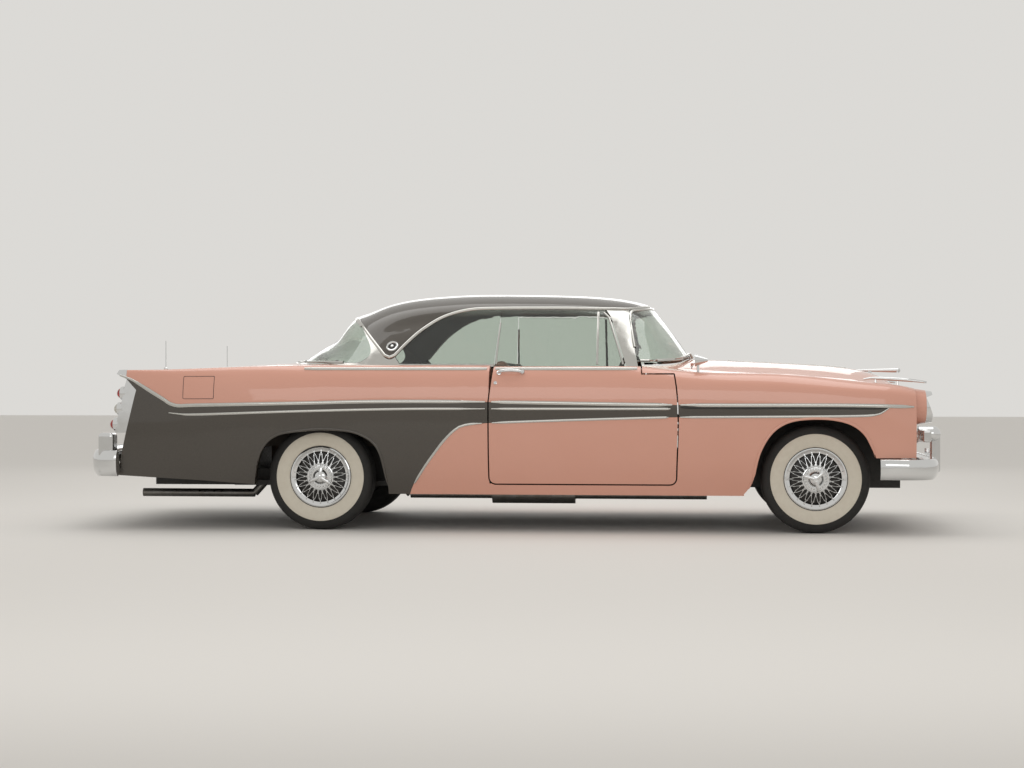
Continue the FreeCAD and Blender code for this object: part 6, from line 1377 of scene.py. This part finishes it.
def on_wheel(lift, side, up=0.0):
    """A place on the wheel: height along its axis, then sideways and upwards on its face."""
    return wheel_centre + wheel_axis * lift + TO_LEFT * side + wheel_up * up


turns = [2 * math.pi * i / 64 for i in range(64)]
ring_line = [on_wheel(0.016, RING_RADIUS * math.cos(a), RING_RADIUS * math.sin(a)) for a in turns]
ring = tube(ring_line, 0.004, sides=8, closed=True)
spoke_lines = [[on_wheel(0.022, hand * SPOKE_FOOT), on_wheel(0.017, hand * RING_RADIUS)]
               for hand in (1, -1)]
spokes = [tube(line, [0.006, 0.004], sides=8) for line in spoke_lines]
horn = joined(ring, turned(HORN_CAP, wheel_centre, wheel_axis, steps=40), *spokes)
make_piece("horn_ring", horn, chrome_plate, "steering_wheel")
print("horn ring faces:", len(horn[1]))

# %% Dials
DIALS = ((0.44, 0.055), (0.31, 0.055), (0.20, 0.030), (0.54, 0.030))  # place across, radius
DIAL_HEIGHT, FIRST_TICK_DEG, TICK_STEP_DEG, TICKS = 0.955, -120, 20, 13
BACKWARDS = -FORWARD
dash_face_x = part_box("dashboard")[0].x + 0.001
bezels, dial_plates, marks = [], [], []
for y, radius in DIALS:
    centre = Vector((dash_face_x, y, DIAL_HEIGHT))
    bezels.append(turned([(radius, -0.002), (radius + 0.008, -0.002), (radius + 0.007, 0.008),
                          (radius, 0.010)], centre, BACKWARDS, steps=48))
    dial_plates.append(turned([(POLE, -0.001), (radius + 0.002, -0.001), (radius + 0.002, 0.003),
                               (POLE, 0.003)], centre, BACKWARDS, steps=48))
    for k in range(TICKS):
        angle = math.radians(FIRST_TICK_DEG + TICK_STEP_DEG * k)
        way = Vector((0, math.sin(angle), math.cos(angle)))
        raised = centre + BACKWARDS * 0.004
        marks.append(tube([raised + way * radius * 0.74, raised + way * radius * 0.92], 0.0012, sides=6))
    pivot = centre + BACKWARDS * 0.0055
    pointer = [pivot, pivot + Vector((0, radius * 0.5, radius * 0.55))]
    marks.append(tube(pointer, [0.0022, 0.0008], sides=6))
dash_line = [Vector((dash_face_x, y / 100, 0.905)) for y in range(-70, 71, 5)]
bezels.append(strip(dash_line, [BACKWARDS] * len(dash_line), half_width=0.010, rise=0.006, taper=0.3))
make_piece("dial_bezels", joined(*bezels, *marks), chrome_plate, "root")
make_piece("dial_faces", joined(*dial_plates), dial_face, "root")
print("dials:", len(DIALS), "marks:", len(marks))

# %% [markdown]
# ## Number plates and lid trim
# The plates are pressed aluminium, painted and left blank. A plain bright bar crosses the
# deck lid's edge, with a small lock cover below it, and a thin strip runs along the hood's
# crease. The strips are laid by rays again, from behind and from above, so that they touch
# the metal all the way.

# %% Blank number plates
PLATE_HALF, PLATE_RIM_HALF, PLATE_RIM_CORNER = (0.0022, 0.158, 0.076), (0.152, 0.070), 0.010
plate_paint, tree, shader = new_finish("painted_plate_aluminium", "D8D3C4", Roughness=0.4, Coat_Weight=0.3)
point, _ = place_of(tree)
bumped(tree, shader, mottle(tree, point, 12, 3), 0.15, 0.15)


def blank_plate(x, height, out):
    """A plate with a pressed rim; out is 1 for the front and -1 for the rear."""
    body = rounded_box((x + out * 0.002, 0, height), PLATE_HALF, power=9)
    outline = rounded_outline(*PLATE_RIM_HALF, PLATE_RIM_CORNER)
    rim_line = [(x + out * 0.004, y, height + z) for y, z in outline]
    return joined(body, tube(rim_line, 0.0022, sides=6, closed=True))


plates = joined(blank_plate(2.8055, 0.430, 1), blank_plate(-2.8055, 0.445, -1))
make_piece("number_plates", plates, plate_paint, "root")
print("plate faces:", len(plates[1]))

# %% Deck lid bar and lock, and the hood's strip
LOCK_COVER = ((POLE, -0.001), (0.020, -0.001), (0.019, 0.007), (0.012, 0.010), (POLE, 0.010))
BEHIND_CAR_X, ABOVE_HOOD_Z = -3.2, 1.6


def probed(surface, starts, way):
    """Places and outward directions where rays from the starts meet a surface."""
    met = [found for found in (touch(surface, start, way) for start in starts) if found]
    return [place for place, _ in met], [out for _, out in met]


lid = surface_of("deck_lid")
lid_line = probed(lid, [(BEHIND_CAR_X, -0.45 + 0.9 * i / 30, 0.80) for i in range(31)], FORWARD)
lock = turned(LOCK_COVER, *touch(lid, (BEHIND_CAR_X, 0, 0.745), FORWARD), steps=32)
lid_trim = joined(strip(*lid_line, half_width=0.014, rise=0.010, taper=0.5), lock)
make_piece("deck_lid_trim", lid_trim, chrome_plate, "deck_lid")
hood_line = probed(surface_of("hood"), [(1.45 + 0.80 * i / 39, 0, ABOVE_HOOD_Z) for i in range(40)], -UP)
hood_strip = strip(*hood_line, half_width=0.006, rise=0.005, taper=0.6)
make_piece("hood_centre_strip", hood_strip, stainless_trim, "hood")
print("lid trim faces:", len(lid_trim[1]), "hood strip faces:", len(hood_strip[1]))

# %% [markdown]
# ## Floor and studio light
# The floor is plain and pale, and it is stage, not a part of the car. Bare lamps would give
# hard, spotty shines on the enamel. Soft boxes light it as a car studio does: one long box
# overhead and one wide box on each side. The world adds an even light, and only what the
# eye, a mirror or glass sees of it is set apart, so the ground of the picture can be chosen
# without changing the light on the car.

# %% Floor and world
FLOOR_HALF = 40
WORLD_LIGHT, WORLD_SEEN = 0.82, 0.85
scene = bpy.context.scene
floor_mesh = bpy.data.meshes.new("studio_floor")
floor_corners = [(a * FLOOR_HALF, b * FLOOR_HALF, 0) for a, b in ((-1, -1), (1, -1), (1, 1), (-1, 1))]
floor_mesh.from_pydata(floor_corners, [], [(0, 1, 2, 3)])
floor = bpy.data.objects.new("studio_floor", floor_mesh)
scene.collection.objects.link(floor)
floor_mesh.materials.append(new_finish("matt_floor_paint", "D9D6D1", Roughness=0.8)[0])

world = bpy.data.worlds.new("studio")
world.use_nodes = True
scene.world = world
tree = world.node_tree
light = tree.nodes["Background"]
light.inputs["Color"].default_value = linear("F4F2EF")
light.inputs["Strength"].default_value = WORLD_LIGHT
seen = add_node(tree, "ShaderNodeBackground", {"Color": linear("ECEAE6"), "Strength": WORLD_SEEN})
rays = add_node(tree, "ShaderNodeLightPath").outputs
shown = compute(tree, "MAXIMUM", rays["Is Camera Ray"], rays["Is Transmission Ray"])
shown = compute(tree, "MAXIMUM", shown, rays["Is Glossy Ray"])
mixed = add_node(tree, "ShaderNodeMixShader", links={0: shown, 1: light.outputs[0], 2: seen.outputs[0]})
tree.links.new(mixed.outputs[0], tree.nodes["World Output"].inputs["Surface"])
print("floor:", 2 * FLOOR_HALF, "m wide")

# %% Soft boxes
# Each box: name, place, what it aims at, width, height, watts.
SOFT_BOXES = (("overhead_box", (0, 0, 4.6), (0, 0, 0.6), 7.0, 3.0, 95),
              ("front_side_box", (0.5, -7.5, 2.6), (0, 0, 0.7), 8.0, 2.0, 60),
              ("rear_side_box", (-0.5, 7.5, 3.2), (0, 0, 0.7), 8.0, 2.0, 60))
for name, place, aim, wide, tall, watts in SOFT_BOXES:
    lamp = bpy.data.lights.new(name, "AREA")
    lamp.shape = "RECTANGLE"
    lamp.size, lamp.size_y = wide, tall
    lamp.energy = watts
    box = bpy.data.objects.new(name, lamp)
    box.location = place
    box.rotation_euler = (Vector(aim) - Vector(place)).to_track_quat("-Z", "Y").to_euler()
    scene.collection.objects.link(box)
print("soft boxes:", len(SOFT_BOXES))

# %% [markdown]
# ## Camera
# The photograph was taken from the car's right side, about twelve metres off at chest
# height, with a long lens that keeps the wheels round. The camera stands there, level, and
# is turned a little, so that no shift of the lens is needed.

# %% Camera
camera_data = bpy.data.cameras.new("camera")
camera_data.lens = 61.9
camera_data.sensor_width = 36
camera_data.clip_end = 200
camera = bpy.data.objects.new("camera", camera_data)
camera.location = (1.090, -12.187, 0.953)
camera.rotation_euler = (math.radians(90), 0, math.radians(5.3))
scene.collection.objects.link(camera)
scene.camera = camera
scene.view_settings.view_transform = "Standard"
print("camera at:", [round(v, 2) for v in camera.location])
